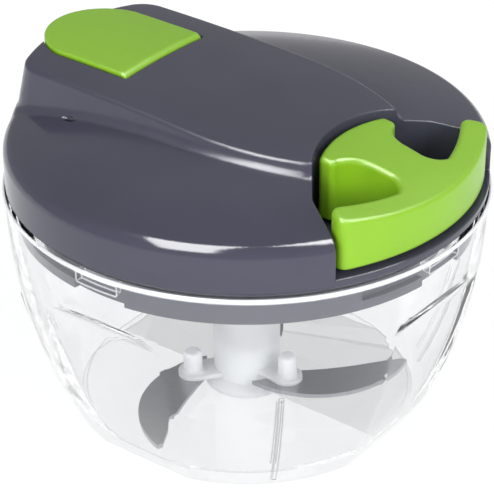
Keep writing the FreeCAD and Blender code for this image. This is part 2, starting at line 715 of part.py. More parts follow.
recess = new_sketch(cover, "recess_plan", "XY_Plane", "ridge_crown + 20")
recess_outline(recess, "0")
extrude(cover, "recess_cut", recess, "ridge_crown + 20 - recess_floor", cut=True)
well = new_sketch(cover, "well_plan", "XY_Plane", "ridge_crown + 20")
tombstone(well, "button_gap")
extrude(cover, "well_top", well, "ridge_crown + 20 - button_sill", cut=True)
deep = new_sketch(cover, "deep_well_plan", "XY_Plane", "ridge_crown + 20")
well_arc = "button_end_arc + button_gap"
well_half = "button_half_width + button_gap"
well_bend = "-button_centre_reach - sqrt((%s)^2 - (%s)^2)" % (well_arc, well_half)
well_end = "-ridge_end_radius + 3.3"
well_end_half = "sqrt((%s)^2 - (ridge_end_radius - 3.3 - button_centre_reach)^2)" % well_arc
draw_loop(deep, [
    ("-button_inner_reach + button_gap", well_half),
    (well_bend, well_half, well_arc, 1),
    (well_end, well_end_half),
    (well_end, minus(well_end_half), well_arc, 1),
    (well_bend, minus(well_half)),
    ("-button_inner_reach + button_gap", minus(well_half)),
])
extrude(cover, "well_deep", deep, "ridge_crown + 20 - button_floor", cut=True)
combine(cover, "cover_core_cut", [core], "Cut")

cover_angles = ("65", "125", "235", "295")
boss_places = [around("boss_circle", angle) for angle in cover_angles]
boss_reach = "(boss_circle + boss_radius)"
boss_top = "dome_top - dome_arc + sqrt(dome_arc^2 - %s^2) - 0.3" % boss_reach
studs(cover, "screw_bosses", [(x, y, "boss_radius") for x, y in boss_places], "plate_top + 1.3",
      boss_top + " - plate_top - 1.3")
bore(cover, "screw_holes", [(x, y, "1.3") for x, y in boss_places], "plate_top + 16", "16")
cord_hole = new_sketch(cover, "cord_hole_plan", "YZ_Plane", "recess_reach - 6")
draw_circle(cord_hole, "0", "cord_height", "2.55")
extrude(cover, "cord_hole", cord_hole, "9", cut=True, upward=True)
pin_hole = new_sketch(cover, "pin_hole_plan", "XZ_Plane")
draw_circle(pin_hole, "-button_pin_reach", "button_pin_height", "button_pin_radius + 0.02")
extrude(cover, "pin_hole", pin_hole, "button_half_width * 2 + 4", cut=True, both=True)
bore(cover, "stem_hole", [("-vent_reach", "0", "stem_radius + running_fit")], "button_floor + 1", "5")

# Lid base
base = new_body("lid_base")
base_section = new_sketch(base, "lid_base_section", "XZ_Plane")
draw_loop(base_section, [
    ("journal_radius + running_fit", "neck_bottom - 2.3"),
    ("journal_radius + 2.8", "neck_bottom - 2.3"),
    ("journal_radius + 2.8", "neck_bottom"),
    ("neck_radius", "neck_bottom"),
    ("neck_radius", "track_top + 0.4"),
    ("seal_radius", "track_top + 0.4"),
    ("seal_radius", "bowl_height"),
    ("seal_outer_radius - 0.2", "bowl_height"),
    ("seal_outer_radius - 0.2", "bowl_height + rest_gap"),
    ("flange_radius", "bowl_height + rest_gap"),
    ("flange_radius", "neck_top"),
    ("neck_inner_radius", "neck_top"),
    ("neck_inner_radius", "plate_top"),
    ("journal_radius + 2.8", "plate_top"),
    ("journal_radius + 2.8", "plate_top + 0.6"),
    ("journal_radius + running_fit", "plate_top + 0.6"),
])
spin(base, "lid_base_turn", base_section)
channel = new_sketch(base, "channel", "XZ_Plane")
draw_loop(channel, [
    ("track_radius", "neck_bottom - 1"),
    ("track_radius + 4", "neck_bottom - 1"),
    ("track_radius + 4", "track_top"),
    ("track_radius", "track_top"),
])
channel_cut = spin(base, "channel_cut", channel, "15", cut=True, both=True)
repeat(base, "channels", [channel_cut], 4, -1)
track = new_sketch(base, "track", "XZ_Plane", turn="-9")
draw_loop(track, [
    ("track_radius", "lug_bottom - 0.6"),
    ("track_radius + 4", "lug_bottom - 0.6"),
    ("track_radius + 4", "track_top"),
    ("track_radius", "track_top"),
])
track_cut = spin(base, "track_cut", track, "33", cut=True, both=True)
repeat(base, "tracks", [track_cut], 4, -1)
studs(base, "screw_pads", [(x, y, "boss_radius + 0.6") for x, y in boss_places], "plate_top - 0.5", "1.75")
bore(base, "cover_screw_holes", [(x, y, "1.75") for x, y in boss_places], "plate_top + 2", "6")
bore(base, "cover_screw_seats", [(x, y, "3.1") for x, y in boss_places], "neck_bottom + 1.4", "3")
post_angles = ("80", "200", "320")
post_places = [around("post_circle", angle) for angle in post_angles]
studs(base, "posts", [(x, y, "3") for x, y in post_places], "plate_top - 0.5", "housing_bottom - plate_top + 0.5")
bore(base, "post_holes", [(x, y, "1.15") for x, y in post_places], "housing_bottom + 1", "6")
studs(base, "vent_seat", [("-vent_reach", "0", "4")], "plate_top - 0.5", "1.7")
bore(base, "vent_hole", [("-vent_reach", "0", "stem_radius + 0.5")], "plate_top + 2", "6")

turned("lid_gasket", [
    ("seal_radius + running_fit", "track_top + 0.6"),
    ("seal_outer_radius - 0.4", "track_top + 0.6"),
    ("seal_outer_radius", "track_top + 1.0"),
    ("seal_outer_radius - 0.4", "track_top + 1.4"),
    ("seal_outer_radius - 0.4", "bowl_height - 0.2"),
    ("seal_radius + running_fit", "bowl_height - 0.2"),
])

# Pull handle: curved flange, web and grip drawn as one plan, then cut to the sloping top
handle = new_body("pull_handle")
outline = new_sketch(handle, "handle_plan", "XY_Plane", "handle_bottom")
flange_arc = "recess_arc - handle_gap"
flange_x = "recess_reach + recess_arc - sqrt((%s)^2 - handle_flange_half^2)" % flange_arc
flange_outer_x = "%s + handle_flange - 0.6" % flange_x
web_start = "min(recess_reach + handle_gap + 14.5; grip_inner_radius - 8)"
grip_in = around("grip_inner_radius", "grip_half_angle")
grip_out = around("grip_outer_radius", "grip_half_angle")
grip_start = around("grip_inner_radius", "handle_web_angle")
draw_loop(outline, [
    (flange_x, "handle_flange_half", flange_arc, 1),
    (flange_x, "-handle_flange_half"),
    (flange_outer_x, "-handle_flange_half"),
    (flange_outer_x, "-handle_flange_half + 1.8", "handle_pocket_arc + 2.5", -1),
    (web_start, "-handle_web_half - 0.3"),
    ("grip_inner_radius - 6", "-handle_web_half", "handle_pocket_arc", -1),
    (grip_start[0], minus(grip_start[1]), "grip_inner_radius", -1),
    (grip_in[0], minus(grip_in[1])),
    (grip_out[0], minus(grip_out[1]), "grip_outer_radius", 1),
    grip_out,
    (grip_in[0], grip_in[1], "grip_inner_radius", -1),
    (grip_start[0], grip_start[1], "handle_pocket_arc", -1),
    ("grip_inner_radius - 6", "handle_web_half"),
    (web_start, "handle_web_half + 0.3", "handle_pocket_arc + 2.5", -1),
    (flange_outer_x, "handle_flange_half - 1.8"),
    (flange_outer_x, "handle_flange_half"),
])
extrude(handle, "handle_block", outline, "handle_flange_top - handle_bottom + 2")
profile = new_sketch(handle, "handle_top", "XZ_Plane")
draw_loop(profile, [
    ("recess_reach - 4", "handle_flange_top + 1.8", "153", -1),
    ("grip_outer_radius + 2", "grip_top - 0.3"),
    ("grip_outer_radius + 2", "handle_flange_top + 12"),
    ("recess_reach - 4", "handle_flange_top + 12"),
])
extrude(handle, "handle_top_cut", profile, "90", cut=True, both=True)
knot_room = new_sketch(handle, "knot_room_plan", "XY_Plane", "cord_height + 2.8")
draw_loop(knot_room, [
    ("recess_reach + 9.2", "2.8"),
    ("recess_reach + 9.2", "-2.8"),
    ("recess_reach + 14.6", "-2.8"),
    ("recess_reach + 14.6", "2.8"),
])
extrude(handle, "knot_room", knot_room, "20", cut=True)
handle_hole = new_sketch(handle, "handle_cord_hole", "YZ_Plane", "recess_reach + handle_gap - 2")
draw_circle(handle_hole, "0", "cord_height", "cord_radius + 0.25")
extrude(handle, "handle_cord_bore", handle_hole, "11", cut=True, upward=True)


round_edges(handle, "grip_end_rounding", "2.6",
            lambda shape, edge: is_upright(edge) and abs(middle_of(edge).y) > number("handle_flange_half") + 8)
round_edges(handle, "flange_end_rounding", "1.6",
            lambda shape, edge: is_upright(edge) and near(abs(middle_of(edge).y), number("handle_flange_half"), 0.1))
round_edges(handle, "handle_rim", "1.4",
            lambda shape, edge: is_top_rim(shape, edge) and middle_of(edge).z > number("grip_top") - 2)

# Cord
knot = turned("cord_knot", [
    ("0", "0"),
    ("1.7", "0"),
    ("2.4", "1.2"),
    ("2.4", "2.6"),
    ("1.7", "3.8"),
    ("cord_radius", "4.0"),
    ("cord_radius", "4.9"),
    ("0", "4.9"),
])
knot.Placement = Placement(Vector(0, 0, 0), Rotation(Vector(0, 1, 0), 90))
knot.setExpression("Placement.Base.x", linked("recess_reach + 9.25"))
knot.setExpression("Placement.Base.z", linked("cord_height"))

handle_run = turned("cord_handle_run", [
    ("0", "0"),
    ("cord_radius", "0"),
    ("cord_radius", "9.2 - handle_gap + 0.02"),
    ("0", "9.2 - handle_gap + 0.02"),
])
handle_run.Placement = Placement(Vector(0, 0, 0), Rotation(Vector(0, 1, 0), 90))
handle_run.setExpression("Placement.Base.x", linked("recess_reach + handle_gap + 0.01"))
handle_run.setExpression("Placement.Base.z", linked("cord_height"))

inner_run = new_body("cord_inner_run")
bend_reach = "recess_reach - 2.8"
leave_cos = "(wind_radius / (%s))" % bend_reach
leave_sin = "sqrt(1 - %s^2)" % leave_cos
bend_run = "3 * (1 - %s) / %s" % (leave_sin, leave_cos)
leave_x, leave_y = ("wind_radius * " + leave_cos, "wind_radius * " + leave_sin)
start_x = "(%s) - %s * %s" % (bend_reach, bend_run, leave_sin)
start_y = "%s * %s" % (bend_run, leave_cos)
route = new_sketch(inner_run, "inner_route", "XY_Plane", "cord_height")
a = Vector(number("recess_reach + handle_gap"), 0, 0)
b = Vector(number("(%s) + (%s)" % (bend_reach, bend_run)), 0, 0)
c = Vector(number(start_x), number(start_y), 0)
d = Vector(number(leave_x), number(leave_y), 0)
route.addGeometry(Part.LineSegment(a, b))
bend_centre = Vector(b.x, 3.0, 0)
begin = math.atan2(c.y - bend_centre.y, c.x - bend_centre.x)
route.addGeometry(Part.ArcOfCircle(Part.Circle(bend_centre, Vector(0, 0, 1), 3.0), begin, -math.pi / 2.0))
route.addGeometry(Part.LineSegment(c, d))
route.addConstraint(Sketcher.Constraint("Coincident", 0, 2, 1, 2))
route.addConstraint(Sketcher.Constraint("Coincident", 1, 1, 2, 1))
hold_point(route, 0, 1, "recess_reach + handle_gap", "0")
hold_point(route, 0, 2, "(%s) + (%s)" % (bend_reach, bend_run), "0")
hold_point(route, 2, 1, start_x, start_y)
hold_point(route, 2, 2, leave_x, leave_y)
route.addConstraint(Sketcher.Constraint("Radius", 1, 3.0))
ring = new_sketch(inner_run, "inner_route_section", "YZ_Plane", "recess_reach + handle_gap")
draw_circle(ring, "0", "cord_height", "cord_radius")
DOC.recompute()
pipe = inner_run.newObject("PartDesign::AdditivePipe", "inner_route_pipe")
pipe.Profile = ring
pipe.Spine = (route, ["Edge1", "Edge2", "Edge3"])
settle(inner_run, pipe, 0.0, 1)

# The wound cord is turned as one body with a groove between its turns; the leaving run lies above them.
wind_pitch = "2 * cord_radius"
wind_low = "cord_height - cord_radius - 0.05 - 3 * %s" % wind_pitch
wind_face = "wind_radius - cord_radius"
turns = [(wind_face, wind_low)]
for turn in range(3):
    foot = "%s + %d * %s" % (wind_low, turn, wind_pitch)
    turns.append(("wind_radius + 0.3", foot))
    turns.append(("wind_radius + cord_radius", "%s + 0.55" % foot))
    turns.append(("wind_radius + cord_radius", "%s + %s - 0.55" % (foot, wind_pitch)))
turns.append(("wind_radius + 0.3", "%s + 3 * %s" % (wind_low, wind_pitch)))
turns.append((wind_face, "%s + 3 * %s" % (wind_low, wind_pitch)))
turned("cord_winding", turns)

bush = turned("cord_bush", [
    ("cord_radius + 0.35", "0.8"),
    ("cord_radius + 0.9", "0"),
    ("2.5", "0"),
    ("2.5", "lid_wall + 0.8"),
    ("3.2", "lid_wall + 0.8"),
    ("3.2", "lid_wall + 1.45"),
    ("cord_radius + 0.9", "lid_wall + 1.45"),
    ("cord_radius + 0.35", "lid_wall + 0.8"),
])
bush.Placement = Placement(Vector(0, 0, 0), Rotation(Vector(0, 1, 0), 90))
bush.setExpression("Placement.Base.x", linked("recess_reach - lid_wall - 0.6"))
bush.setExpression("Placement.Base.z", linked("cord_height"))

# Spool, recoil spring, housing and axle
core_radius = "wind_radius - cord_radius - 0.02"
spool = turned("cord_spool", [
    ("axle_radius + running_fit", "spool_bottom"),
    ("flange_edge", "spool_bottom"),
    ("flange_edge", "spool_bottom + spool_flange"),
    (core_radius, "spool_bottom + spool_flange"),
    (core_radius, "groove_top"),
    ("cup_radius", "groove_top"),
    ("cup_radius", "cup_top"),
    ("cup_radius - 1.5", "cup_top"),
    ("cup_radius - 1.5", "groove_top + spool_flange"),
    ("axle_radius + running_fit", "groove_top + spool_flange"),
])
pawl_pin_places = [("pawl_reach", "0"), ("-pawl_reach", "0")]
studs(spool, "pawl_pins", [(x, y, "1.2") for x, y in pawl_pin_places], "spool_bottom - 5", "5.5")

housing = turned("spool_housing", [
    ("axle_radius + 0.02", "groove_top + spool_flange + 0.3"),
    ("4.4", "groove_top + spool_flange + 0.3"),
    ("4.4", "housing_top - housing_wall"),
    ("housing_radius - housing_wall", "housing_top - housing_wall"),
    ("housing_radius - housing_wall", "housing_bottom"),
    ("housing_radius", "housing_bottom"),
    ("housing_radius", "housing_top - 0.8"),
    ("housing_radius - 0.8", "housing_top"),
    ("axle_radius + 0.02", "housing_top"),
])
ear = new_sketch(housing, "ear_plan", "XY_Plane", "housing_bottom")
draw_loop(ear, [
    ("housing_radius - 0.8", "-3.2"),
    ("post_circle", "-3.2", "3.2", 1),
    ("post_circle + 3.2", "0", "3.2", 1),
    ("post_circle", "3.2"),
    ("housing_radius - 0.8", "3.2"),
])
ear.AttachmentOffset = Placement(Vector(0, 0, number("housing_bottom")), Rotation(Vector(0, 0, 1), 80))
ear_pad = extrude(housing, "ear", ear, "2")
repeat(housing, "ears", [ear_pad], 3, 1)
bore(housing, "ear_holes", [(x, y, "1.5") for x, y in post_places], "housing_bottom + 3", "4")
window = new_sketch(housing, "window_plan", "YZ_Plane", "housing_radius - 6")
draw_loop(window, [
    ("-0.5", "cord_height - 2.2"),
    ("8.5", "cord_height - 2.2"),
    ("8.5", "cord_height + 2.2"),
    ("-0.5", "cord_height + 2.2"),
])
extrude(housing, "window", window, "8", cut=True, upward=True)

spring = new_body("recoil_spring")
strip = new_sketch(spring, "strip_section", "XZ_Plane")
spring_low = "groove_top + spool_flange + 0.3"
draw_loop(strip, [
    ("4.7", spring_low),
    ("5.1", spring_low),
    ("5.1", "cup_top - 0.3"),
    ("4.7", "cup_top - 0.3"),
])
DOC.recompute()
flat = spring.newObject("PartDesign::AdditiveHelix", "strip")
flat.Profile = strip
flat.ReferenceAxis = (strip, ["V_Axis"])
flat.Mode = "height-turns-growth"
flat.Height = 0.0
flat.setExpression("Turns", linked("spring_turns"))
flat.setExpression("Growth", linked("(cup_radius - 1.5 - 5.4) / spring_turns"))
settle(spring, flat, 0.0, 1)

turned("spool_axle", [
    ("0", "neck_bottom - 0.6"),
    ("axle_radius - 0.4", "neck_bottom - 0.6"),
    ("axle_radius", "neck_bottom - 0.2"),
    ("axle_radius", "housing_top + 0.25"),
    ("axle_radius - 0.5", "housing_top + 0.25"),
    ("axle_radius - 0.5", "housing_top + 1.05"),
    ("axle_radius", "housing_top + 1.05"),
    ("axle_radius", "housing_top + 1.6"),
    ("axle_radius - 0.3", "housing_top + 1.9"),
    ("0", "housing_top + 1.9"),
])
clip = new_body("axle_clip")
clip_plan = new_sketch(clip, "clip_plan", "XY_Plane", "housing_top + 0.3")
draw_circle(clip_plan, "0", "0", "4")
draw_circle(clip_plan, "0", "0", "axle_radius - 0.48")
extrude(clip, "clip_disc", clip_plan, "0.7")
clip_gap = new_sketch(clip, "clip_gap_plan", "XY_Plane", "housing_top + 2")
draw_loop(clip_gap, [("0", "-1.2"), ("6", "-1.2"), ("6", "1.2"), ("0", "1.2")])
extrude(clip, "clip_gap", clip_gap, "3", cut=True)

# Ratchet: toothed coupler below, two pawls on the spool
coupler = turned("drive_coupler", [
    ("0", "neck_bottom - 15"),
    ("4.2", "neck_bottom - 15"),
    ("4.6", "neck_bottom - 14.6"),
    ("4.6", "neck_bottom - 2.3"),
    ("journal_radius", "neck_bottom - 2.3"),
    ("journal_radius", "plate_top + 0.7"),
    ("ratchet_rim", "plate_top + 0.7"),
    ("ratchet_rim", "spool_bottom - 0.5"),
    ("ratchet_inner", "spool_bottom - 0.5"),
    ("ratchet_inner", "plate_top + 2.9"),
    ("4", "plate_top + 2.9"),
    ("4", "spool_bottom - 0.1"),
    ("axle_radius + running_fit", "spool_bottom - 0.1"),
    ("axle_radius + running_fit", "neck_bottom - 0.8"),
    ("0", "neck_bottom - 0.8"),
])
tooth = new_sketch(coupler, "valley_plan", "XY_Plane", "spool_bottom + 1")
tooth_a = around("ratchet_outer", "-52.5")
tooth_b = around("ratchet_inner - 0.3", "-52.5")
tooth_c = around("ratchet_inner - 0.3", "-27")
draw_loop(tooth, [tooth_a, tooth_c, tooth_b])
tooth_cut = extrude(coupler, "valley", tooth, "spool_bottom + 1 - plate_top - 2.9", cut=True)
repeat(coupler, "valleys", [tooth_cut], 12, -1)
fin = new_sketch(coupler, "fin_plan", "XY_Plane", "neck_bottom - 14.3")
draw_loop(fin, [("3", "-1.1"), ("journal_radius - 0.1", "-1.1"), ("journal_radius - 0.1", "1.1"), ("3", "1.1")])
fin_pad = extrude(coupler, "fin", fin, "13")
repeat(coupler, "fins", [fin_pad], 3, 1)


def pawl(name, side):
    """One pawl; side is 1 or -1 for the half turn between the two."""
    body = new_body(name)
    sketch = new_sketch(body, name + "_plan", "XY_Plane", "spool_bottom - 4.7")
    draw_loop(sketch, [
        ("pawl_reach - 2.4", "0", "2.4", -1),
        ("pawl_reach", "2.4", "2.4", -1),
        ("pawl_reach + 2.4", "0"),
        around("ratchet_inner + 0.2", "-38"),
        around("ratchet_inner + 0.7", "-43"),
        around("ratchet_inner - 1.4", "-44"),
    ])
    extrude(body, name + "_plate", sketch, "3.6")
    bore(body, name + "_bore", [("pawl_reach", "0", "1.2 + running_fit")], "spool_bottom", "6")
    if side < 0:
        body.Placement = Placement(Vector(0, 0, 0), Rotation(Vector(0, 0, 1), 180))
    return body


pawl("pawl_front", 1)
pawl("pawl_rear", -1)

# Screws
mechanism = new_body("mechanism_screws")
studs(mechanism, "mechanism_heads", [(x, y, "2.4") for x, y in post_places], "housing_bottom + 2", "1.6")
studs(mechanism, "mechanism_shanks", [(x, y, "1.1") for x, y in post_places], "housing_bottom - 4.5", "7")
bore(mechanism, "mechanism_drives", [(x, y, "0.9") for x, y in post_places], "housing_bottom + 4", "1.4")
cover_screws = new_body("cover_screws")
studs(cover_screws, "cover_heads", [(x, y, "2.9") for x, y in boss_places], "neck_bottom + 0.1", "1.3")
studs(cover_screws, "cover_shanks", [(x, y, "1.25") for x, y in boss_places], "neck_bottom + 1", "16")
bore(cover_screws, "cover_drives", [(x, y, "1.0") for x, y in boss_places], "neck_bottom + 0.9", "1.5")

# Release button
button = new_body("release_button")
button_plan = new_sketch(button, "button_plan", "XY_Plane", "button_sill")
tombstone(button_plan, "0")
extrude(button, "button_block", button_plan, "ridge_crown - button_sill + 8")
crown_cut(button, "button_crown", "-button_rise")
round_edges(button, "button_front_roll", "2.2",
            lambda shape, edge: is_top_rim(shape, edge) and near(middle_of(edge).x, -number("button_inner_reach"), 0.3))
round_edges(button, "button_rim", "0.6",
            lambda shape, edge: is_top_rim(shape, edge) and middle_of(edge).x < -number("button_inner_reach") - 3)
hollow_plan = new_sketch(button, "button_hollow_plan", "XY_Plane", "button_under")
tombstone(hollow_plan, "-button_skin", "button_inner_reach", "button_centre_reach")
extrude(button, "button_hollow", hollow_plan, "20", cut=True)
lip = new_sketch(button, "button_lip", "XZ_Plane")
draw_loop(lip, [
    ("-ridge_end_radius + 4.4", "button_sill - 1"),
    ("-ridge_end_radius + 4.4", "button_sill + 2.9"),
    ("-ridge_end_radius - 8", "button_sill + 2.9"),
    ("-ridge_end_radius - 8", "button_sill - 1"),
])
extrude(button, "button_lip_cut", lip, "60", cut=True, both=True)
pin_cheeks = new_sketch(button, "pin_cheeks", "XZ_Plane")
draw_circle(pin_cheeks, "-button_pin_reach", "button_pin_height", "2.3")
draw_circle(pin_cheeks, "-button_pin_reach", "button_pin_height", "button_pin_radius + running_fit")
extrude(button, "pin_sleeve", pin_cheeks, "button_half_width * 2", both=True)
studs(button, "vent_foot", [("-vent_reach", "0", "2.6")], "button_sill + 0.2", "5")
pin_bore = new_sketch(button, "pin_bore_plan", "XZ_Plane")
draw_circle(pin_bore, "-button_pin_reach", "button_pin_height", "button_pin_radius + running_fit")
extrude(button, "pin_bore", pin_bore, "60", cut=True, both=True)

pin_body = turned("button_pin", [
    ("0", "-button_half_width - 1.8"),
    ("button_pin_radius", "-button_half_width - 1.8"),
    ("button_pin_radius", "button_half_width + 1.8"),
    ("0", "button_half_width + 1.8"),
])
pin_body.Placement = Placement(Vector(0, 0, 0), Rotation(Vector(1, 0, 0), 90))
pin_body.setExpression("Placement.Base.x", linked("-button_pin_reach"))
pin_body.setExpression("Placement.Base.z", linked("button_pin_height"))


def coil_spring(name, reach, low, high, radius, wire, turns):
    """Compression spring standing on its lower end."""
    body = new_body(name)
    sketch = new_sketch(body, name + "_wire", "XZ_Plane")
    draw_loop(sketch, [
        ("%s - %s" % (radius, wire), minus(wire)),
        ("%s + %s" % (radius, wire), minus(wire)),
        ("%s + %s" % (radius, wire), wire),
        ("%s - %s" % (radius, wire), wire),
    ])
    DOC.recompute()
    feature = body.newObject("PartDesign::AdditiveHelix", name + "_coil")
    feature.Profile = sketch
    feature.ReferenceAxis = (sketch, ["V_Axis"])
    feature.Mode = "height-turns-angle"
    feature.setExpression("Height", linked("(%s) - (%s) - 2 * %s" % (high, low, wire)))
    feature.Turns = turns
    settle(body, feature, 0.0, 1)
    body.setExpression("Placement.Base.x", linked(reach))
    body.setExpression("Placement.Base.z", linked("(%s) + %s" % (low, wire)))
    return body


coil_spring("button_spring", "-button_centre_reach + 5", "button_floor + 0.02", "button_under - 0.02", "3", "0.35", 4.0)
turned_stem = turned("vent_plunger", [
    ("0", "neck_bottom - 2.4"),
    ("3.4", "neck_bottom - 2.4"),
    ("3.4", "neck_bottom - 1.6"),
    ("stem_radius - 0.5", "neck_bottom - 1.6"),
    ("stem_radius - 0.5", "plate_top + 7"),
    ("3.6", "plate_top + 7"),
    ("3.6", "plate_top + 8"),
    ("stem_radius", "plate_top + 8"),
    ("stem_radius", "button_sill - 0.3"),
    ("stem_radius - 1.2", "button_sill + 0.1"),
    ("0", "button_sill + 0.1"),
])
turned_stem.setExpression("Placement.Base.x", linked("-vent_reach"))
seal = turned("vent_seal", [
    ("stem_radius - 0.48", "neck_bottom - 1.58"),
    ("4.6", "neck_bottom - 1.58"),
    ("4.6", "neck_bottom - 0.4"),
    ("4.2", "neck_bottom - 0.02"),
    ("stem_radius - 0.48", "neck_bottom - 0.02"),
])
seal.setExpression("Placement.Base.x", linked("-vent_reach"))
coil_spring("vent_spring", "-vent_reach", "plate_top + 1.22", "plate_top + 6.98", "2.9", "0.3", 4.0)

# Blade hub, blades and pegs
hub = turned("blade_hub", [
    ("pin_radius + running_fit", "bowl_floor + 0.25"),
    ("tube_radius + 2.6", "bowl_floor + 0.25"),
    ("tube_radius + 2.6", "bowl_floor + 1.4"),
    ("tube_radius", "bowl_floor + 3"),
    ("tube_radius", "tube_top - 0.4"),
    ("tube_radius - 0.4", "tube_top"),
    ("tube_bore", "tube_top"),
    ("tube_bore", "pin_top + 3"),
    ("0", "pin_top + 3"),
    ("0", "pin_top + rest_gap"),
    ("pin_radius + running_fit", "pin_top + rest_gap"),
])


def beside(reach, across, angle):
    """Coordinates of a point at a distance along a line from the axis, and across from that line."""
    return ("(%s) * cos(%s) - (%s) * sin(%s)" % (reach, angle, across, angle),
            "(%s) * sin(%s) + (%s) * cos(%s)" % (reach, angle, across, angle))


def is_post_top(shape, edge):
    """Rim of a post's flat top."""
    return is_top_rim(shape, edge) and near(edge.Length, 2 * math.pi * number("post_radius"), 0.01)


# Name of each blade, its turn from the middle blade, and its height above that blade.
BLADES = (
    ("blade_middle", 0, "0"),
    ("blade_lower", -120, "-blade_step"),
    ("blade_upper", 120, "blade_step"),
)
for name, turn, lift in BLADES:
    arm_bottom = "blade_height + (%s) + blade_thickness + 0.02" % lift
    arm = new_sketch(hub, name + "_arm_plan", "XY_Plane", arm_bottom)
    way = "peg_angle + (%d)" % turn
    draw_loop(arm, [
        beside("tube_radius - 1", "-arm_width / 2", way),
        beside("peg_circle", "-arm_width / 2", way) + ("arm_width / 2 + 0.001", 1),
        beside("peg_circle", "arm_width / 2", way),
        beside("tube_radius - 1", "arm_width / 2", way),
    ])
    extrude(hub, name + "_arm", arm, "arm_thickness")
    peg_x, peg_y = around("peg_circle", "peg_angle + (%d)" % turn)
    studs(hub, name + "_post", [(peg_x, peg_y, "post_radius")], arm_bottom + " + arm_thickness - 0.2", "post_height")
    bore(hub, name + "_peg_hole", [(peg_x, peg_y, "1.32")], arm_bottom + " + 2.2", "3")
round_edges(hub, "post_tops", "post_rounding", is_post_top)
inner_rib = new_sketch(hub, "tube_rib_plan", "XY_Plane", "neck_bottom - 15")
draw_loop(inner_rib, [
    ("-tube_bore - 0.3", "-1"),
    ("-6.2", "-1"),
    ("-6.2", "1"),
    ("-tube_bore - 0.3", "1"),
])
rib_stud = extrude(hub, "tube_rib", inner_rib, "11.5")
repeat(hub, "tube_ribs", [rib_stud], 3, 1)

for name, turn, lift in BLADES:
    body = new_body(name)
    sketch = new_sketch(body, name + "_plan", "XY_Plane", "blade_height + (%s)" % lift)
    root = around("tube_radius + 3.1", "peg_angle - 39")
    heel = around("tube_radius + 3.1", "peg_angle + 8")
    back = ("peg_circle * cos(peg_angle) + 0.8", "peg_circle * sin(peg_angle) + 5.5")
    point = around("blade_reach", "peg_angle + 42.8")
    shoulder = around("blade_reach - 1.4", "peg_angle + 43.6")
    draw_loop(sketch, [
        root + ("blade_edge_arc", 1),
        point,
        shoulder + ("blade_back_arc", -1),
        back,
        heel + ("tube_radius + 3.1", -1),
    ])
    extrude(body, name + "_plate", sketch, "blade_thickness")
    peg_x, peg_y = around("peg_circle", "peg_angle")
    bore(body, name + "_hole", [(peg_x, peg_y, "1.32")], "blade_height + (%s) + 3" % lift, "5")
    body.Placement = Placement(Vector(0, 0, 0), Rotation(Vector(0, 0, 1), turn))
pegs = new_body("blade_pegs")
for name, turn, lift in BLADES:
    peg_x, peg_y = around("peg_circle", "peg_angle + (%d)" % turn)
    under = "blade_height + (%s)" % lift
    studs(pegs, name + "_peg_head", [(peg_x, peg_y, "2.2")], under + " - 0.81", "0.8")
    studs(pegs, name + "_peg_shank", [(peg_x, peg_y, "1.3")], under + " - 0.4", "3.5")

DOC.recompute()
for item in DOC.Objects:
    if "Invalid" in item.State or "Error" in item.State:
        raise RuntimeError("%s is %s" % (item.Label, item.State))
os.makedirs("parts", exist_ok=True)
for old in os.listdir("parts"):
    if old.endswith(".step"):
        os.remove(os.path.join("parts", old))
triangles = 0
for node in NODES:
    shape = node.Shape
    if shape.isNull() or not shape.isValid() or not shape.Solids:
        raise RuntimeError("%s has no valid solid" % node.Label)
    shape.exportStep("parts/%s.step" % node.Label)
    count = len(shape.copy().tessellate(0.1)[1])
    triangles += count
    box = shape.BoundBox
    print("%-18s solids %d  volume %9.1f  x %6.1f..%6.1f y %6.1f..%6.1f z %6.1f..%6.1f  tris %d" % (
        node.Label, len(shape.Solids), shape.Volume, box.XMin, box.XMax, box.YMin, box.YMax, box.ZMin, box.ZMax, count))
print("nodes", len(NODES), "triangles", triangles)
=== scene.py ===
"""Dressing of the pull-string garlic chopper: camera, studio, finishes, coil springs and cord."""
import logging
import math
from dataclasses import dataclass
from enum import Enum

import bmesh
import bpy
from mathutils import Matrix, Quaternion, Vector


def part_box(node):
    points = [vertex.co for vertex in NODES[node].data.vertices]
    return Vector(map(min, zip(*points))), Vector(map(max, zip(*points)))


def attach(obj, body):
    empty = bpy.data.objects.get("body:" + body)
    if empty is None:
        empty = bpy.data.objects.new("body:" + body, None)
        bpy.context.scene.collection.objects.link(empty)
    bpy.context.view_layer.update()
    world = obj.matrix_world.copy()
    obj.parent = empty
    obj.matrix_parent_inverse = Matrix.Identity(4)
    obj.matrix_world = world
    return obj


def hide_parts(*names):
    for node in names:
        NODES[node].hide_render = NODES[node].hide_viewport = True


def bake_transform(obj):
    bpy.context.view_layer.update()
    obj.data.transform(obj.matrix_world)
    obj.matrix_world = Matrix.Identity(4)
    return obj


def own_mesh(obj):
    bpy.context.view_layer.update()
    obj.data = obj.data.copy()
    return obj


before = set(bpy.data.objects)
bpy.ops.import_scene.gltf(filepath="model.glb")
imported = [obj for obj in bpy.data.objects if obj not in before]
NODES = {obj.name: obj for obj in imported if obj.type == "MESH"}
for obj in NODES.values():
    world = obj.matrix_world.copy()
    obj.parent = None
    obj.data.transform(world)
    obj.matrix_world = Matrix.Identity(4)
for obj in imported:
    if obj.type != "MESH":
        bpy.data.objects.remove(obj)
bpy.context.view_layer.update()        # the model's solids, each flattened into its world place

LOG = logging.getLogger("garlic_chopper")
MM = 0.001

Colour = tuple[float, float, float, float]
Triple = tuple[float, float, float]

AXIS: Triple = (0.0, 0.0, 1.0)
CENTRE: Triple = (0.0, 0.0, 0.0)
IN_PLAN: Triple = (1.0, 1.0, 0.0)
FULL_WHITE: Colour = (1.0, 1.0, 1.0, 1.0)


def grey(level: float) -> Colour:
    """A grey of one linear level."""
    return (level, level, level, 1.0)


def shade(colour: Colour, share: float) -> Colour:
    """A colour scaled in brightness, kept opaque."""
    return (colour[0] * share, colour[1] * share, colour[2] * share, 1.0)


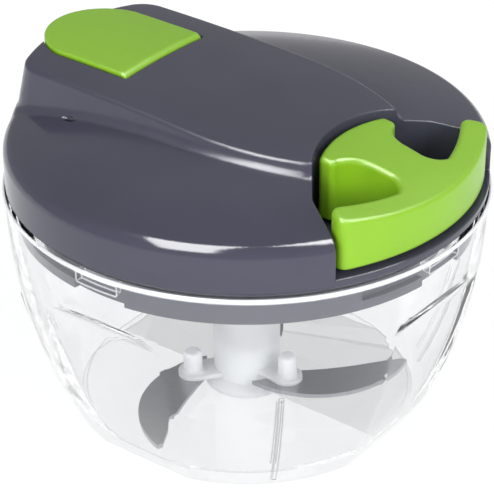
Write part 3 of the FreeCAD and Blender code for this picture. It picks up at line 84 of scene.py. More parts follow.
def from_photo(red: int, green: int, blue: int) -> Colour:
    """Linear colour of an eight-bit screen colour, by the screen's standard curve.

    Args:
        red: Red part, 0 to 255.
        green: Green part, 0 to 255.
        blue: Blue part, 0 to 255.

    Returns:
        The colour as Blender's sockets take it, opaque.
    """
    parts = []
    for part in (red, green, blue):
        level = part / 255.0
        parts.append(level / 12.92 if level <= 0.04045 else ((level + 0.055) / 1.055) ** 2.4)
    return (parts[0], parts[1], parts[2], 1.0)


class Graph:
    """A node tree, with short ways to add to it."""

    def __init__(self, tree: bpy.types.NodeTree) -> None:
        """Takes a tree and empties it.

        Args:
            tree: The tree.
        """
        self.tree = tree
        self.tree.nodes.clear()

    def fill(self, target: bpy.types.NodeSocket, term: object) -> None:
        """Gives an input its value.

        Args:
            target: The input.
            term: A socket to link to it, or a constant.
        """
        if isinstance(term, bpy.types.NodeSocket):
            self.tree.links.new(term, target)
        else:
            target.default_value = term

    def add(self, kind: str, *terms: object, **named: object) -> bpy.types.Node:
        """Adds a node and fills its inputs.

        Args:
            kind: The node's type.
            *terms: What its first inputs take, in their order.
            **named: What inputs take by name; an underscore stands for a space.

        Returns:
            The node.
        """
        node = self.tree.nodes.new(kind)
        for target, term in zip(node.inputs, terms):
            self.fill(target, term)
        for name, term in named.items():
            self.fill(node.inputs[name.replace("_", " ")], term)
        return node

    def maths(self, operation: str, *terms: object, clamped: bool = False) -> bpy.types.NodeSocket:
        """One Math node.

        Args:
            operation: The node's operation.
            *terms: Its terms, each a socket or a number.
            clamped: Whether the result is held between 0 and 1.

        Returns:
            The result's socket.
        """
        node = self.add("ShaderNodeMath", *terms)
        node.operation = operation
        node.use_clamp = clamped
        return node.outputs["Value"]

    def mix(self, share: bpy.types.NodeSocket, first: bpy.types.NodeSocket,
            second: bpy.types.NodeSocket) -> bpy.types.NodeSocket:
        """Two shaders in one.

        Args:
            share: Share of the second.
            first: The first shader.
            second: The second shader.

        Returns:
            The mixed shader's socket.
        """
        return self.add("ShaderNodeMixShader", share, first, second).outputs["Shader"]


class Weave(Graph):
    """The node tree of one material, with its shader, its output and its object coordinates."""

    def __init__(self, name: str) -> None:
        """Starts a material with a plain shader.

        Args:
            name: The material's name.
        """
        self.material = bpy.data.materials.new(name)
        self.material.use_nodes = True
        super().__init__(self.material.node_tree)
        self.shader = self.add("ShaderNodeBsdfPrincipled")
        self.output = self.add("ShaderNodeOutputMaterial", Surface=self.shader.outputs["BSDF"])
        self.place = self.add("ShaderNodeTexCoord").outputs["Object"]

    def put(self, **values: object) -> None:
        """Fills the shader's own sockets.

        Args:
            **values: What each takes, a socket or a constant; an underscore stands for a space.
        """
        for name, value in values.items():
            self.fill(self.shader.inputs[name.replace("_", " ")], value)

    def cover(self, share: bpy.types.NodeSocket, over: bpy.types.NodeSocket) -> None:
        """Lets another shader take the place of the material's own.

        Args:
            share: Share of the other shader.
            over: The other shader.
        """
        self.fill(self.output.inputs["Surface"], self.mix(share, self.shader.outputs["BSDF"], over))

    def noise(self, scale: float, detail: float = 2.0, stretch: Triple | None = None,
              rough: float = 0.5) -> bpy.types.NodeSocket:
        """Noise on object coordinates.

        Args:
            scale: Waves per metre.
            detail: Octaves of finer noise.
            stretch: Scale along each axis, for flowed, drawn or brushed surfaces.
            rough: Weight of the finer octaves.

        Returns:
            The noise's factor socket.
        """
        source = self.place
        if stretch is not None:
            source = self.add("ShaderNodeMapping", Vector=source, Scale=stretch).outputs["Vector"]
        node = self.add("ShaderNodeTexNoise", Vector=source, Scale=scale, Detail=detail, Roughness=rough)
        return node.outputs["Fac"]

    def axis(self, name: str) -> bpy.types.NodeSocket:
        """The object coordinate along one axis, in metres."""
        return self.add("ShaderNodeSeparateXYZ", self.place).outputs[name]

    def reach(self, centre: Triple, scale: Triple) -> bpy.types.NodeSocket:
        """Distance from a point, in metres, with its own scale along each axis.

        Args:
            centre: The point in metres.
            scale: Share of each axis in the distance; 0 leaves an axis out.

        Returns:
            The distance's socket.
        """
        shift = tuple(-part * share for part, share in zip(centre, scale))
        moved = self.add("ShaderNodeMapping", Vector=self.place, Location=shift, Scale=scale)
        length = self.add("ShaderNodeVectorMath", moved.outputs["Vector"])
        length.operation = "LENGTH"
        return length.outputs["Value"]

    def spread(self, source: bpy.types.NodeSocket, low: float, high: float, start: float = 0.3,
               end: float = 0.7, eased: bool = False) -> bpy.types.NodeSocket:
        """Maps a factor to a range of values; without a start and an end it takes noise's usual range.

        Args:
            source: The factor.
            low: Value at the start of the factor's range.
            high: Value at its end.
            start: Where the factor's range starts.
            end: Where it ends.
            eased: Whether the range's ends are eased.

        Returns:
            The mapped value's socket.
        """
        node = self.add("ShaderNodeMapRange", Value=source, From_Min=start, From_Max=end,
                        To_Min=low, To_Max=high)
        node.interpolation_type = "SMOOTHSTEP" if eased else "LINEAR"
        return node.outputs["Result"]

    def tint(self, source: bpy.types.NodeSocket, first: Colour, second: Colour,
             start: float = 0.32, end: float = 0.68) -> bpy.types.NodeSocket:
        """Colour between two, by a factor.

        Args:
            source: The factor.
            first: Colour up to the start.
            second: Colour from the end on.
            start: Factor at which the colour starts to turn.
            end: Factor at which it has turned.

        Returns:
            The colour's socket.
        """
        node = self.add("ShaderNodeValToRGB", source)
        stops = node.color_ramp.elements
        stops[0].position = start
        stops[0].color = first
        stops[1].position = end
        stops[1].color = second
        return node.outputs["Color"]

    def rounded(self, radius: float, samples: int) -> bpy.types.NodeSocket:
        """The surface's normal with its sharp edges rounded.

        Args:
            radius: The rounding's radius in metres.
            samples: Rays that look for an edge.

        Returns:
            The normal's socket.
        """
        node = self.add("ShaderNodeBevel", Radius=radius)
        node.samples = samples
        return node.outputs["Normal"]

    def bump(self, source: bpy.types.NodeSocket, height: float, strength: float = 1.0) -> None:
        """Adds a bump over the normal that the shader has already.

        Args:
            source: Height factor.
            height: Height of the factor's full range, in metres.
            strength: Share of the bump that shows.
        """
        node = self.add("ShaderNodeBump", Distance=height, Strength=strength, Height=source)
        for link in self.shader.inputs["Normal"].links:
            self.fill(node.inputs["Normal"], link.from_socket)
        self.put(Normal=node.outputs["Normal"])


@dataclass(frozen=True)
class MouldedPlastic:
    """Opaque injection-moulded plastic: faint flow marks, fine grain and a gloss that wanders a little.

    Attributes:
        name: The material's name.
        colour: Its colour.
        gloss: Middle roughness.
        wander: How far the roughness goes to either side of it.
        grain: Height of the fine grain, in metres.
        swell: Height of the slow waves, as a multiple of the grain.
        flow: How far the flow marks change the colour, as a share.
        depth: Weight of the light that sinks in.
        depth_reach: How far red, green and blue light sinks in, in metres.
        satin: Roughness added inside the satin zone, about the lid's middle.
        satin_zone: Radii from which and to which the satin fades out, in metres.
        dent: Middle of a small dent, in metres; none if left out.
        dent_shape: Share of each axis in the distance from the dent.
        dent_edge: Distances between which the dent rises, in metres.
        dent_depth: Depth of the dent, in metres.
        corner: Radius to which sharp edges are shaded, in metres; none for 0.
        corner_rays: Rays that look for an edge.
    """

    name: str
    colour: Colour
    gloss: float
    wander: float = 0.06
    grain: float = 0.00001
    swell: float = 2.5
    flow: float = 0.06
    depth: float = 0.0
    depth_reach: Triple = (0.004, 0.006, 0.002)
    satin: float = 0.0
    satin_zone: tuple[float, float] = (0.04, 0.06)
    dent: Triple | None = None
    dent_shape: Triple = (0.4, 1.0, 1.0)
    dent_edge: tuple[float, float] = (0.0002, 0.0012)
    dent_depth: float = 0.0012
    corner: float = 0.0
    corner_rays: int = 6

    def roughness(self, weave: Weave) -> bpy.types.NodeSocket:
        """Wandering roughness, with the satin zone's share added.

        Args:
            weave: The material's nodes.

        Returns:
            The roughness' socket.
        """
        haze = weave.noise(scale=240.0, detail=4.0, rough=0.62)
        rough = weave.spread(haze, low=self.gloss - self.wander, high=self.gloss + self.wander)
        if not self.satin:
            return rough
        start, end = self.satin_zone
        radius = weave.reach(CENTRE, IN_PLAN)
        return weave.maths("ADD", rough, weave.spread(radius, self.satin, 0.0, start, end, eased=True))

    def relief(self, weave: Weave) -> None:
        """Rounds the shading of edges and adds grain, slow waves and the dent.

        Args:
            weave: The material's nodes.
        """
        if self.corner:
            weave.put(Normal=weave.rounded(self.corner, self.corner_rays))
        weave.bump(weave.noise(scale=2600.0), self.grain, strength=0.35)
        weave.bump(weave.noise(scale=70.0, detail=1.0), self.grain * self.swell, strength=0.5)
        if self.dent:
            start, end = self.dent_edge
            apart = weave.reach(self.dent, self.dent_shape)
            weave.bump(weave.spread(apart, 0.0, 1.0, start, end, eased=True), self.dent_depth)

    def build(self) -> bpy.types.Material:
        """Makes the material.

        Returns:
            The material.
        """
        weave = Weave(self.name)
        marks = weave.noise(scale=38.0, detail=3.0, stretch=(1.0, 1.0, 2.2))
        weave.put(Base_Color=weave.tint(marks, shade(self.colour, 1.0 - self.flow),
                                        shade(self.colour, 1.0 + self.flow)),
                  Roughness=self.roughness(weave), Specular_IOR_Level=0.5, IOR=1.5)
        self.relief(weave)
        if self.depth:
            weave.put(Subsurface_Weight=self.depth, Subsurface_Radius=self.depth_reach,
                      Subsurface_Scale=1.0)
        return weave.material


@dataclass(frozen=True)
class ClearPlastic:
    """Clear moulded plastic that lets lamps through, with shade painted at its edges and folds, darker
    lines along its seams and a painted highlight on its bead.

    Attributes:
        name: The material's name.
        colour: Tint of the light that goes through.
        gloss: Lowest roughness.
        haze: How far the roughness goes above it.
        ripple: Height of the slow ripples from the mould, in metres.
        passes: Share of the lamps' light that goes through.
        index: Index of refraction as light goes through, lower than the real one.
        coat_index: Index of refraction of the gloss, the real one.
        edge_shade_and_seam_level: Brightness of the tint where shade is painted at edges and folds, and
            along the seams.
        rim: Share of the painted shade where the surface is seen edge-on.
        rim_falloff: Power by which that share falls off as the surface turns to face the eye.
        fold_radius: Reach of the bands along folds, in metres.
        fold_rays: Rays that look for a fold.
        fold_share: Share of the painted shade along folds.
        fold_turn: Turns of the rounded normal between which a band fades in.
        seam_apart: Distance of a mould seam's line from the diagonal, in metres.
        seam_width: Half of that line's width, in metres.
        seam_middle: Height of the seams' middles, in metres.
        seam_half: Half of the seams' height, in metres.
        bead_radius: Radius outside which the rim is bead, in metres.
        bead_foot: Height above which the rim is bead, in metres.
        lug_foot: Height above which folds are the lugs' outlines, painted milky as a highlight, in
            metres.
        bead_highlight_transmission: Transmission that is left in the bead and the lugs' outlines, so that
            they show milky as a painted highlight.
    """

    name: str
    colour: Colour
    gloss: float = 0.01
    haze: float = 0.03
    ripple: float = 0.00002
    passes: float = 0.97
    index: float = 1.07
    coat_index: float = 1.49
    edge_shade_and_seam_level: float = 0.45
    rim: float = 0.5
    rim_falloff: float = 4.0
    fold_radius: float = 0.0007
    fold_rays: int = 8
    fold_share: float = 0.9
    fold_turn: tuple[float, float] = (0.03, 0.2)
    seam_apart: float = 0.0009
    seam_width: float = 0.0003
    seam_middle: float = 0.021
    seam_half: float = 0.013
    bead_radius: float = 0.0653
    bead_foot: float = 0.0671
    lug_foot: float = 0.0615
    bead_highlight_transmission: float = 0.25

    def folds(self, weave: Weave) -> bpy.types.NodeSocket:
        """Mask of the narrow bands along folds, where rounding would turn the normal and shade is
        painted.

        Args:
            weave: The material's nodes.

        Returns:
            The mask's socket.
        """
        flat = weave.add("ShaderNodeNewGeometry").outputs["Normal"]
        apart = weave.add("ShaderNodeVectorMath", weave.rounded(self.fold_radius, self.fold_rays), flat)
        apart.operation = "DISTANCE"
        start, end = self.fold_turn
        return weave.spread(apart.outputs["Value"], 0.0, self.fold_share, start, end)

    def seams(self, weave: Weave) -> bpy.types.NodeSocket:
        """Mask of the four mould seams, a line on either side of each diagonal.

        Args:
            weave: The material's nodes.

        Returns:
            The mask's socket.
        """
        across, along = (weave.maths("ABSOLUTE", weave.axis(name)) for name in ("X", "Y"))
        diagonal = weave.maths("ABSOLUTE", weave.maths("SUBTRACT", across, along))
        line = weave.maths("COMPARE", diagonal, self.seam_apart, self.seam_width)
        level = weave.maths("COMPARE", weave.axis("Z"), self.seam_middle, self.seam_half)
        return weave.maths("MULTIPLY", line, level)

    def bead(self, weave: Weave, fold: bpy.types.NodeSocket) -> bpy.types.NodeSocket:
        """Mask of the rim bead and of the lugs' outlines, where a highlight is painted by making them
        milky.

        Args:
            weave: The material's nodes.
            fold: Mask of the folds.

        Returns:
            The mask's socket.
        """
        outside = weave.maths("GREATER_THAN", weave.reach(CENTRE, IN_PLAN), self.bead_radius)
        above = weave.maths("GREATER_THAN", weave.axis("Z"), self.bead_foot)
        neck = weave.maths("GREATER_THAN", weave.axis("Z"), self.lug_foot)
        return weave.maths("MAXIMUM", weave.maths("MULTIPLY", outside, above),
                           weave.maths("MULTIPLY", fold, neck))

    def build(self) -> bpy.types.Material:
        """Makes the material.

        Returns:
            The material.
        """
        weave = Weave(self.name)
        # Painted shade: the tint darkens where the surface is seen edge-on and along folds; the seams
        # darken it too.
        view = weave.add("ShaderNodeLayerWeight", Blend=0.5).outputs["Facing"]
        edge = weave.maths("MULTIPLY", weave.maths("POWER", view, self.rim_falloff), self.rim)
        fold = self.folds(weave)
        bead = self.bead(weave, fold)
        edge = weave.maths("MAXIMUM", edge, weave.maths("MAXIMUM", fold, self.seams(weave)))
        edge = weave.maths("MULTIPLY", edge, weave.maths("SUBTRACT", 1.0, bead))
        haze = weave.noise(scale=420.0, detail=3.0)
        # Painted highlight: the bead and the lugs' outlines keep little transmission and show milky
        # white; the painted edge shade is taken off them.
        weave.put(Base_Color=weave.tint(edge, self.colour, shade(self.colour, self.edge_shade_and_seam_level), 0.0, 1.0),
                  Roughness=weave.spread(haze, self.gloss, self.gloss + self.haze),
                  IOR=self.index, Specular_IOR_Level=0.5,
                  Transmission_Weight=weave.spread(bead, 1.0, self.bead_highlight_transmission, 0.0, 1.0),
                  Coat_Weight=1.0, Coat_Roughness=0.02, Coat_IOR=self.coat_index)
        ripples = weave.noise(scale=55.0, detail=1.0, stretch=(1.0, 1.0, 0.5))
        weave.bump(ripples, self.ripple, strength=0.6)
        clear = weave.add("ShaderNodeBsdfTransparent", grey(self.passes))
        path = weave.add("ShaderNodeLightPath").outputs
        light = weave.maths("MAXIMUM", path["Is Shadow Ray"], path["Is Diffuse Ray"])
        weave.cover(light, clear.outputs["BSDF"])
        return weave.material


@dataclass(frozen=True)
class MilkyPlastic:
    """White translucent plastic that light sinks into.

    Attributes:
        name: The material's name.
        colour: Its colour.
        gloss: Roughness from which it wanders.
        wander: How far the roughness goes below and above it.
        cloud: Brightness of its darker clouds, as a share.
        depth: Weight of the light that sinks in.
        depth_reach: How far red, green and blue light sinks in, in metres.
        passes: Weight of the light that goes straight through.
    """

    name: str
    colour: Colour
    gloss: float = 0.36
    wander: tuple[float, float] = (0.05, 0.08)
    cloud: float = 0.95
    depth: float = 0.6
    depth_reach: Triple = (0.008, 0.008, 0.008)
    passes: float = 0.15

    def build(self) -> bpy.types.Material:
        """Makes the material.

        Returns:
            The material.
        """
        weave = Weave(self.name)
        clouds = weave.noise(scale=60.0, detail=3.0)
        haze = weave.noise(scale=300.0, detail=3.0)
        below, above = self.wander
        weave.put(Base_Color=weave.tint(clouds, shade(self.colour, self.cloud), self.colour),
                  Roughness=weave.spread(haze, self.gloss - below, self.gloss + above),
                  Subsurface_Weight=self.depth, Subsurface_Radius=self.depth_reach,
                  Subsurface_Scale=1.0, Transmission_Weight=self.passes, IOR=1.46)
        weave.bump(weave.noise(scale=1800.0), height=0.00001, strength=0.3)
        return weave.material


@dataclass(frozen=True)
class BrushedSteel:
    """Rolled and ground steel with a fine lay along one axis.

    Attributes:
        name: The material's name.
        colour: Its colour.
        gloss: Roughness from which it wanders.
        lay: Scale of the lay along each axis.
        wander: How far the roughness goes below and above it.
        contrast: Brightness of the dark and the light lines, as shares.
    """

    name: str
    colour: Colour
    gloss: float
    lay: Triple = (1.0, 14.0, 1.0)
    wander: tuple[float, float] = (0.08, 0.12)
    contrast: tuple[float, float] = (0.82, 1.12)

    def build(self) -> bpy.types.Material:
        """Makes the material.

        Returns:
            The material.
        """
        weave = Weave(self.name)
        lines = weave.noise(scale=420.0, detail=4.0, stretch=self.lay, rough=0.65)
        dark, light = (shade(self.colour, share) for share in self.contrast)
        below, above = self.wander
        weave.put(Base_Color=weave.tint(lines, dark, light),
                  Roughness=weave.spread(lines, self.gloss - below, self.gloss + above), Metallic=1.0)
        weave.bump(lines, height=0.000008, strength=0.5)
        return weave.material


@dataclass(frozen=True)
class SoftRubber:
    """Matt moulded rubber with a dusty bloom.

    Attributes:
        name: The material's name.
        colour: Its colour.
        bloom: Brightness of the bloom, as a share of the colour.
    """

    name: str
    colour: Colour
    bloom: float = 1.8

    def build(self) -> bpy.types.Material:
        """Makes the material.

        Returns:
            The material.
        """
        weave = Weave(self.name)
        dust = weave.noise(scale=180.0, detail=4.0)
        weave.put(Base_Color=weave.tint(dust, self.colour, shade(self.colour, self.bloom)),
                  Roughness=weave.spread(dust, low=0.62, high=0.8), Specular_IOR_Level=0.35)
        weave.bump(weave.noise(scale=3000.0), height=0.00002, strength=0.4)
        return weave.material


@dataclass(frozen=True)
class BraidedCord:
    """Braided cord: strands that cross on the diagonal, with shade painted between them.

    Attributes:
        name: The material's name.
        colour: Its colour.
        strands: Scale of the waves that make the strands.
        slant: Turns of the strands about Y and Z, in radians.
        relief: Height of the strands, in metres.
        valley_shade: Brightness of the shade painted between the strands, as a share.
    """

    name: str
    colour: Colour
    strands: float = 420.0
    slant: tuple[float, float] = (0.6, 0.8)
    relief: float = 0.00012
    valley_shade: float = 0.6

    def strand(self, weave: Weave, hand: float) -> bpy.types.NodeSocket:
        """Waves of the strands that wind one way.

        Args:
            weave: The material's nodes.
            hand: 1 for one way round, -1 for the other.

        Returns:
            The waves' socket.
        """
        turn = (0.0, self.slant[0] * hand, self.slant[1] * hand)
        turned = weave.add("ShaderNodeMapping", Vector=weave.place, Rotation=turn).outputs["Vector"]
        return weave.add("ShaderNodeTexWave", Vector=turned, Scale=self.strands).outputs["Fac"]

    def build(self) -> bpy.types.Material:
        """Makes the material.

        Returns:
            The material.
        """
        weave = Weave(self.name)
        plait = weave.maths("MAXIMUM", self.strand(weave, 1.0), self.strand(weave, -1.0))
        # Painted shade: the colour darkens between the strands.
        weave.put(Base_Color=weave.tint(plait, shade(self.colour, self.valley_shade), self.colour),
                  Roughness=0.85, Sheen_Weight=0.2)
        weave.bump(plait, self.relief, strength=0.8)
        return weave.material


@dataclass(frozen=True)
class FloorPaper:
    """Pale matt paper that glows to white round the object and keeps its shadow.

    Attributes:
        name: The material's name.
        dark: Linear level of its darker clouds.
        light: Linear level of its lighter clouds.
        glow: Strength of the glow.
        share: Share of the glow, which bounced light doesn't see.
    """

    name: str = "floor paper"
    dark: float = 0.93
    light: float = 0.96
    glow: float = 1.08
    share: float = 0.75

    def build(self) -> bpy.types.Material:
        """Makes the material.

        Returns:
            The material.
        """
        weave = Weave(self.name)
        weave.put(Base_Color=weave.tint(weave.noise(scale=9.0), grey(self.dark), grey(self.light)),
                  Roughness=0.9, Specular_IOR_Level=0.0)
        glow = weave.add("ShaderNodeEmission", Color=FULL_WHITE, Strength=self.glow)
        bounced = weave.add("ShaderNodeLightPath").outputs["Is Diffuse Ray"]
        weave.cover(weave.maths("SUBTRACT", self.share, bounced, clamped=True), glow.outputs["Emission"])
        return weave.material


class Finish(Enum):
    """The finishes of this chopper."""

    CLEAR = ClearPlastic("clear bowl plastic", (0.97, 0.975, 0.98, 1.0))
    SLATE = MouldedPlastic("slate lid plastic", from_photo(66, 65, 79), gloss=0.1, wander=0.025,
                           grain=0.0000015, satin=0.14, dent=(-0.0363, -0.0301, 0.0858), corner=0.0008)
    GREEN = MouldedPlastic("green handle plastic", from_photo(133, 182, 32), gloss=0.33, wander=0.03,
                           grain=0.000001, flow=0.02, depth=0.06, corner=0.0009)
    GREY = MouldedPlastic("grey neck plastic", from_photo(88, 89, 98), gloss=0.32, wander=0.02,
                          grain=0.000003)
    WHITE = MouldedPlastic("white mechanism plastic", from_photo(225, 226, 224), gloss=0.38)
    MILKY = MilkyPlastic("milky hub plastic", (0.86, 0.87, 0.88, 1.0))
    RUBBER = SoftRubber("black gasket rubber", from_photo(30, 30, 32))
    STEEL = BrushedSteel("ground blade steel", from_photo(156, 158, 163), gloss=0.36)
    SPRING = BrushedSteel("spring steel", from_photo(150, 150, 152), gloss=0.26, lay=(1.0, 1.0, 9.0))
    CORD = BraidedCord("grey braided cord", from_photo(176, 176, 174))


class FinishShelf:
    """Keeps one material for each finish."""

    def __init__(self) -> None:
        """Starts with no material made."""
        self.made: dict[Finish, bpy.types.Material] = {}

    def take(self, finish: Finish) -> bpy.types.Material:
        """The material of a finish, made on first use.

        Args:
            finish: Which finish.

        Returns:
            Its material.
        """
        if finish not in self.made:
            self.made[finish] = finish.value.build()
        return self.made[finish]


SHELF = FinishShelf()
WELD = 0.002 * MM
SIDE_CORNERS = 4


def crease_nodes(degrees: float) -> bpy.types.NodeTree:
    """Geometry nodes that weld a solid's loose triangles and round their shading up to a crease.

    Args:
        degrees: Angle between two faces past which their edge stays sharp.

    Returns:
        The node group, for a modifier.
    """
    name = f"creases past {round(degrees)} degrees"
    if name in bpy.data.node_groups:
        return bpy.data.node_groups[name]
    group = bpy.data.node_groups.new(name, "GeometryNodeTree")
    for way in ("INPUT", "OUTPUT"):
        group.interface.new_socket("Geometry", in_out=way, socket_type="NodeSocketGeometry")
    graph = Graph(group)
    enter = graph.add("NodeGroupInput")
    weld = graph.add("GeometryNodeMergeByDistance", Geometry=enter.outputs[0], Distance=WELD)
    faces = graph.add("GeometryNodeSetShadeSmooth", Geometry=weld.outputs["Geometry"], Shade_Smooth=True)
    faces.domain = "FACE"
    angle = graph.add("GeometryNodeInputMeshEdgeAngle").outputs["Unsigned Angle"]
    steep = graph.add("FunctionNodeCompare", A=angle, B=math.radians(degrees))
    steep.operation = "GREATER_THAN"
    edges = graph.add("GeometryNodeSetShadeSmooth", Geometry=faces.outputs["Geometry"],
                      Selection=steep.outputs["Result"], Shade_Smooth=False)
    edges.domain = "EDGE"
    graph.add("NodeGroupOutput", edges.outputs["Geometry"])
    return group


def dress(node: str, finish: Finish, crease: float = 25.0) -> None:
    """Gives a solid of the model its finish and smooth shading, and leaves its mesh as it is.

    Args:
        node: The solid's name.
        finish: Its finish.
        crease: Angle past which an edge stays sharp, in degrees.
    """
    solid = NODES[node]
    solid.data.materials.clear()
    solid.data.materials.append(SHELF.take(finish))
    solid.modifiers.new("creases", "NODES").node_group = crease_nodes(crease)
    solid.modifiers.new("even shading", "WEIGHTED_NORMAL").keep_sharp = True
    LOG.info("dressed %s", node)


def finished(shape: bmesh.types.BMesh, name: str, finish: Finish) -> bpy.types.Object:
    """Makes a piece of a round shape, smooth along its sides and flat at its ends.

    Args:
        shape: The shape, which is freed.
        name: The piece's name.
        finish: Its finish.

    Returns:
        The piece.
    """
    bmesh.ops.recalc_face_normals(shape, faces=shape.faces[:])
    for face in shape.faces:
        face.smooth = len(face.verts) == SIDE_CORNERS
    mesh = bpy.data.meshes.new(name)
    shape.to_mesh(mesh)
    shape.free()
    mesh.materials.append(SHELF.take(finish))
    piece = bpy.data.objects.new(name, mesh)
    bpy.context.scene.collection.objects.link(piece)
    LOG.info("made %s", name)
    return piece


def towards(turn: float, rise: float) -> Vector:
    """Unit direction from the object.

    Args:
        turn: Turn from the -Y side towards +X, in degrees.
        rise: Angle above the floor, in degrees.

    Returns:
        The direction.
    """
    across = math.cos(math.radians(rise))
    return Vector((math.sin(math.radians(turn)) * across, -math.cos(math.radians(turn)) * across,
                   math.sin(math.radians(rise))))


@dataclass(frozen=True)
class SoftBox:
    """Rectangular lamp that faces the object.

    Attributes:
        name: The lamp's name.
        turn: Its turn round the object, past the camera's, in degrees.
        rise: Its angle above the floor, in degrees.
        far: Its distance from the point that it faces, in metres.
        wide: One side, in metres.
        deep: The other side, in metres.
        power: Its power in watts.
        mirrored: Whether it only shows in glossy surfaces; otherwise it only lights.
        roll: Its turn about the line to the object, in degrees.
        aim: Height of the point that it faces, in metres.
    """

    name: str
    turn: float
    rise: float
    far: float
    wide: float
    deep: float
    power: float
    mirrored: bool = False
    roll: float = 0.0
    aim: float = 0.05

    def hang(self, turn: float) -> None:
        """Hangs the lamp.

        Args:
            turn: The camera's turn, in degrees.
        """
        data = bpy.data.lights.new(self.name, "AREA")
        data.shape = "RECTANGLE"
        data.size = self.wide
        data.size_y = self.deep
        data.energy = self.power
        lamp = bpy.data.objects.new(self.name, data)
        bpy.context.scene.collection.objects.link(lamp)
        away = towards(turn + self.turn, self.rise)
        lamp.location = Vector((0.0, 0.0, self.aim)) + away * self.far
        twist = Quaternion(AXIS, math.radians(self.roll))
        lamp.rotation_euler = (away.to_track_quat("Z", "Y") @ twist).to_euler()
        lamp.visible_glossy = self.mirrored
        lamp.visible_diffuse = not self.mirrored
        lamp.visible_transmission = not self.mirrored


@dataclass
class Studio:
    """Camera at the photograph's place, soft lamps and a plain pale floor.

    Attributes:
        turn: The camera's turn from the -Y side towards +X, in degrees.
        rise: The camera's angle above the floor, in degrees.
        reach: The camera's distance from the point that it faces, in millimetres.
        aim: Height of that point, in millimetres.
        lens: The camera's focal length, in millimetres.
        sensor: Width of the camera's sensor, in millimetres.
        clip: Nearest and farthest distance that the camera sees, in metres.
        sky: Colour of the surroundings' light.
        sky_strength: Strength of that light.
        walls: Height of the direction, 0 to 1, and the grey that gloss shows there.
        floor_radius: Radius of the floor, in metres.
        floor_sides: Sides of the floor's edge.
        lamps: The soft boxes.
    """

    turn: float = 37.0
    rise: float = 30.1
    reach: float = 585.0
    aim: float = 46.3
    lens: float = 155.07
    sensor: float = 36.0
    clip: tuple[float, float] = (0.01, 20.0)
    sky: Colour = (0.93, 0.96, 1.0, 1.0)
    sky_strength: float = 0.7
    walls: tuple[tuple[float, float], ...] = (
        (0.0, 0.55), (0.05, 0.42), (0.3, 0.4), (0.5, 0.38), (0.8, 0.36), (1.0, 0.36))
    floor_radius: float = 3.0
    floor_sides: int = 96
    lamps: tuple[SoftBox, ...] = (
        SoftBox("left top box", turn=-43.5, rise=63.6, far=1.0, wide=0.4, deep=1.05, power=23.0,
                mirrored=True, roll=26.0),
        SoftBox("right top box", turn=87.8, rise=63.8, far=1.0, wide=0.47, deep=0.68, power=19.0,
                mirrored=True, roll=-41.5),
        SoftBox("left front fill", turn=-30.0, rise=22.0, far=1.4, wide=0.9, deep=0.7, power=9.7),
        SoftBox("right front fill", turn=42.0, rise=24.0, far=1.4, wide=0.9, deep=0.7, power=9.7))

    def set_camera(self) -> None:
        """Puts the camera where the photograph was taken from."""
        data = bpy.data.cameras.new("camera")
        data.lens = self.lens
        data.sensor_width = self.sensor
        data.sensor_fit = "HORIZONTAL"
        data.clip_start, data.clip_end = self.clip
        camera = bpy.data.objects.new("camera", data)
        bpy.context.scene.collection.objects.link(camera)
        away = towards(self.turn, self.rise)
        camera.location = Vector((0.0, 0.0, self.aim * MM)) + away * self.reach * MM
        camera.rotation_euler = away.to_track_quat("Z", "Y").to_euler()
        bpy.context.scene.camera = camera

    def grey_walls(self, graph: Graph) -> bpy.types.NodeSocket:
        """The surroundings that gloss shows, greyer upwards.

        Args:
            graph: The world's nodes.

        Returns:
            The background's socket.
        """
        place = graph.add("ShaderNodeTexCoord").outputs["Generated"]
        up = graph.add("ShaderNodeSeparateXYZ", place).outputs["Z"]
        fade = graph.add("ShaderNodeValToRGB", up)
        stops = fade.color_ramp.elements
        for height, _ in self.walls[1:-1]:
            stops.new(height)
        for stop, (_, level) in zip(stops, self.walls):
            stop.color = grey(level)
        return graph.add("ShaderNodeBackground", fade.outputs["Color"]).outputs["Background"]

    def set_world(self) -> None:
        """White surroundings for the camera and glass, grey ones for gloss, a dim light for the rest."""
        world = bpy.data.worlds.new("studio")
        bpy.context.scene.world = world
        world.use_nodes = True
        graph = Graph(world.node_tree)
        light, white = (
            graph.add("ShaderNodeBackground", Color=colour, Strength=strength).outputs["Background"]
            for colour, strength in ((self.sky, self.sky_strength), (FULL_WHITE, 1.0)))
        path = graph.add("ShaderNodeLightPath").outputs
        clear = graph.maths("MAXIMUM", path["Is Camera Ray"], path["Is Transmission Ray"])
        seen = graph.mix(clear, light, white)
        gloss = graph.mix(path["Is Glossy Ray"], seen, self.grey_walls(graph))
        graph.add("ShaderNodeOutputWorld", Surface=gloss)

    def set_floor(self) -> None:
        """Lays a pale floor that keeps the object's shadow."""
        mesh = bpy.data.meshes.new("floor")
        shape = bmesh.new()
        bmesh.ops.create_circle(shape, cap_ends=True, segments=self.floor_sides, radius=self.floor_radius)
        shape.to_mesh(mesh)
        shape.free()
        mesh.materials.append(FloorPaper().build())
        floor = bpy.data.objects.new("floor", mesh)
        bpy.context.scene.collection.objects.link(floor)

    def build(self) -> None:
        """Sets up the whole studio."""
        bpy.context.scene.view_settings.view_transform = "Standard"
        self.set_camera()
        self.set_world()
        self.set_floor()
        for lamp in self.lamps:
            lamp.hang(self.turn)
        LOG.info("studio set")


@dataclass
class Bowl:
    """Clear bowl with its gasket.

    Attributes:
        crease: Angle past which the bowl's edges stay sharp, in degrees.
    """

    crease: float = 28.0

    def build(self) -> None:
        """Dresses the bowl's pieces."""
        dress("bowl", Finish.CLEAR, self.crease)
        dress("lid_gasket", Finish.RUBBER)


@dataclass
class Lid:
    """Slate cover on the grey lid base.

    Attributes:
        crease: Angle past which the cover's edges stay sharp, in degrees.
    """

    crease: float = 24.0

    def build(self) -> None:
        """Dresses the lid's pieces."""
        dress("lid_cover", Finish.SLATE, self.crease)
        dress("lid_base", Finish.GREY)
        for node in ("cover_screws", "mechanism_screws"):
            dress(node, Finish.STEEL)


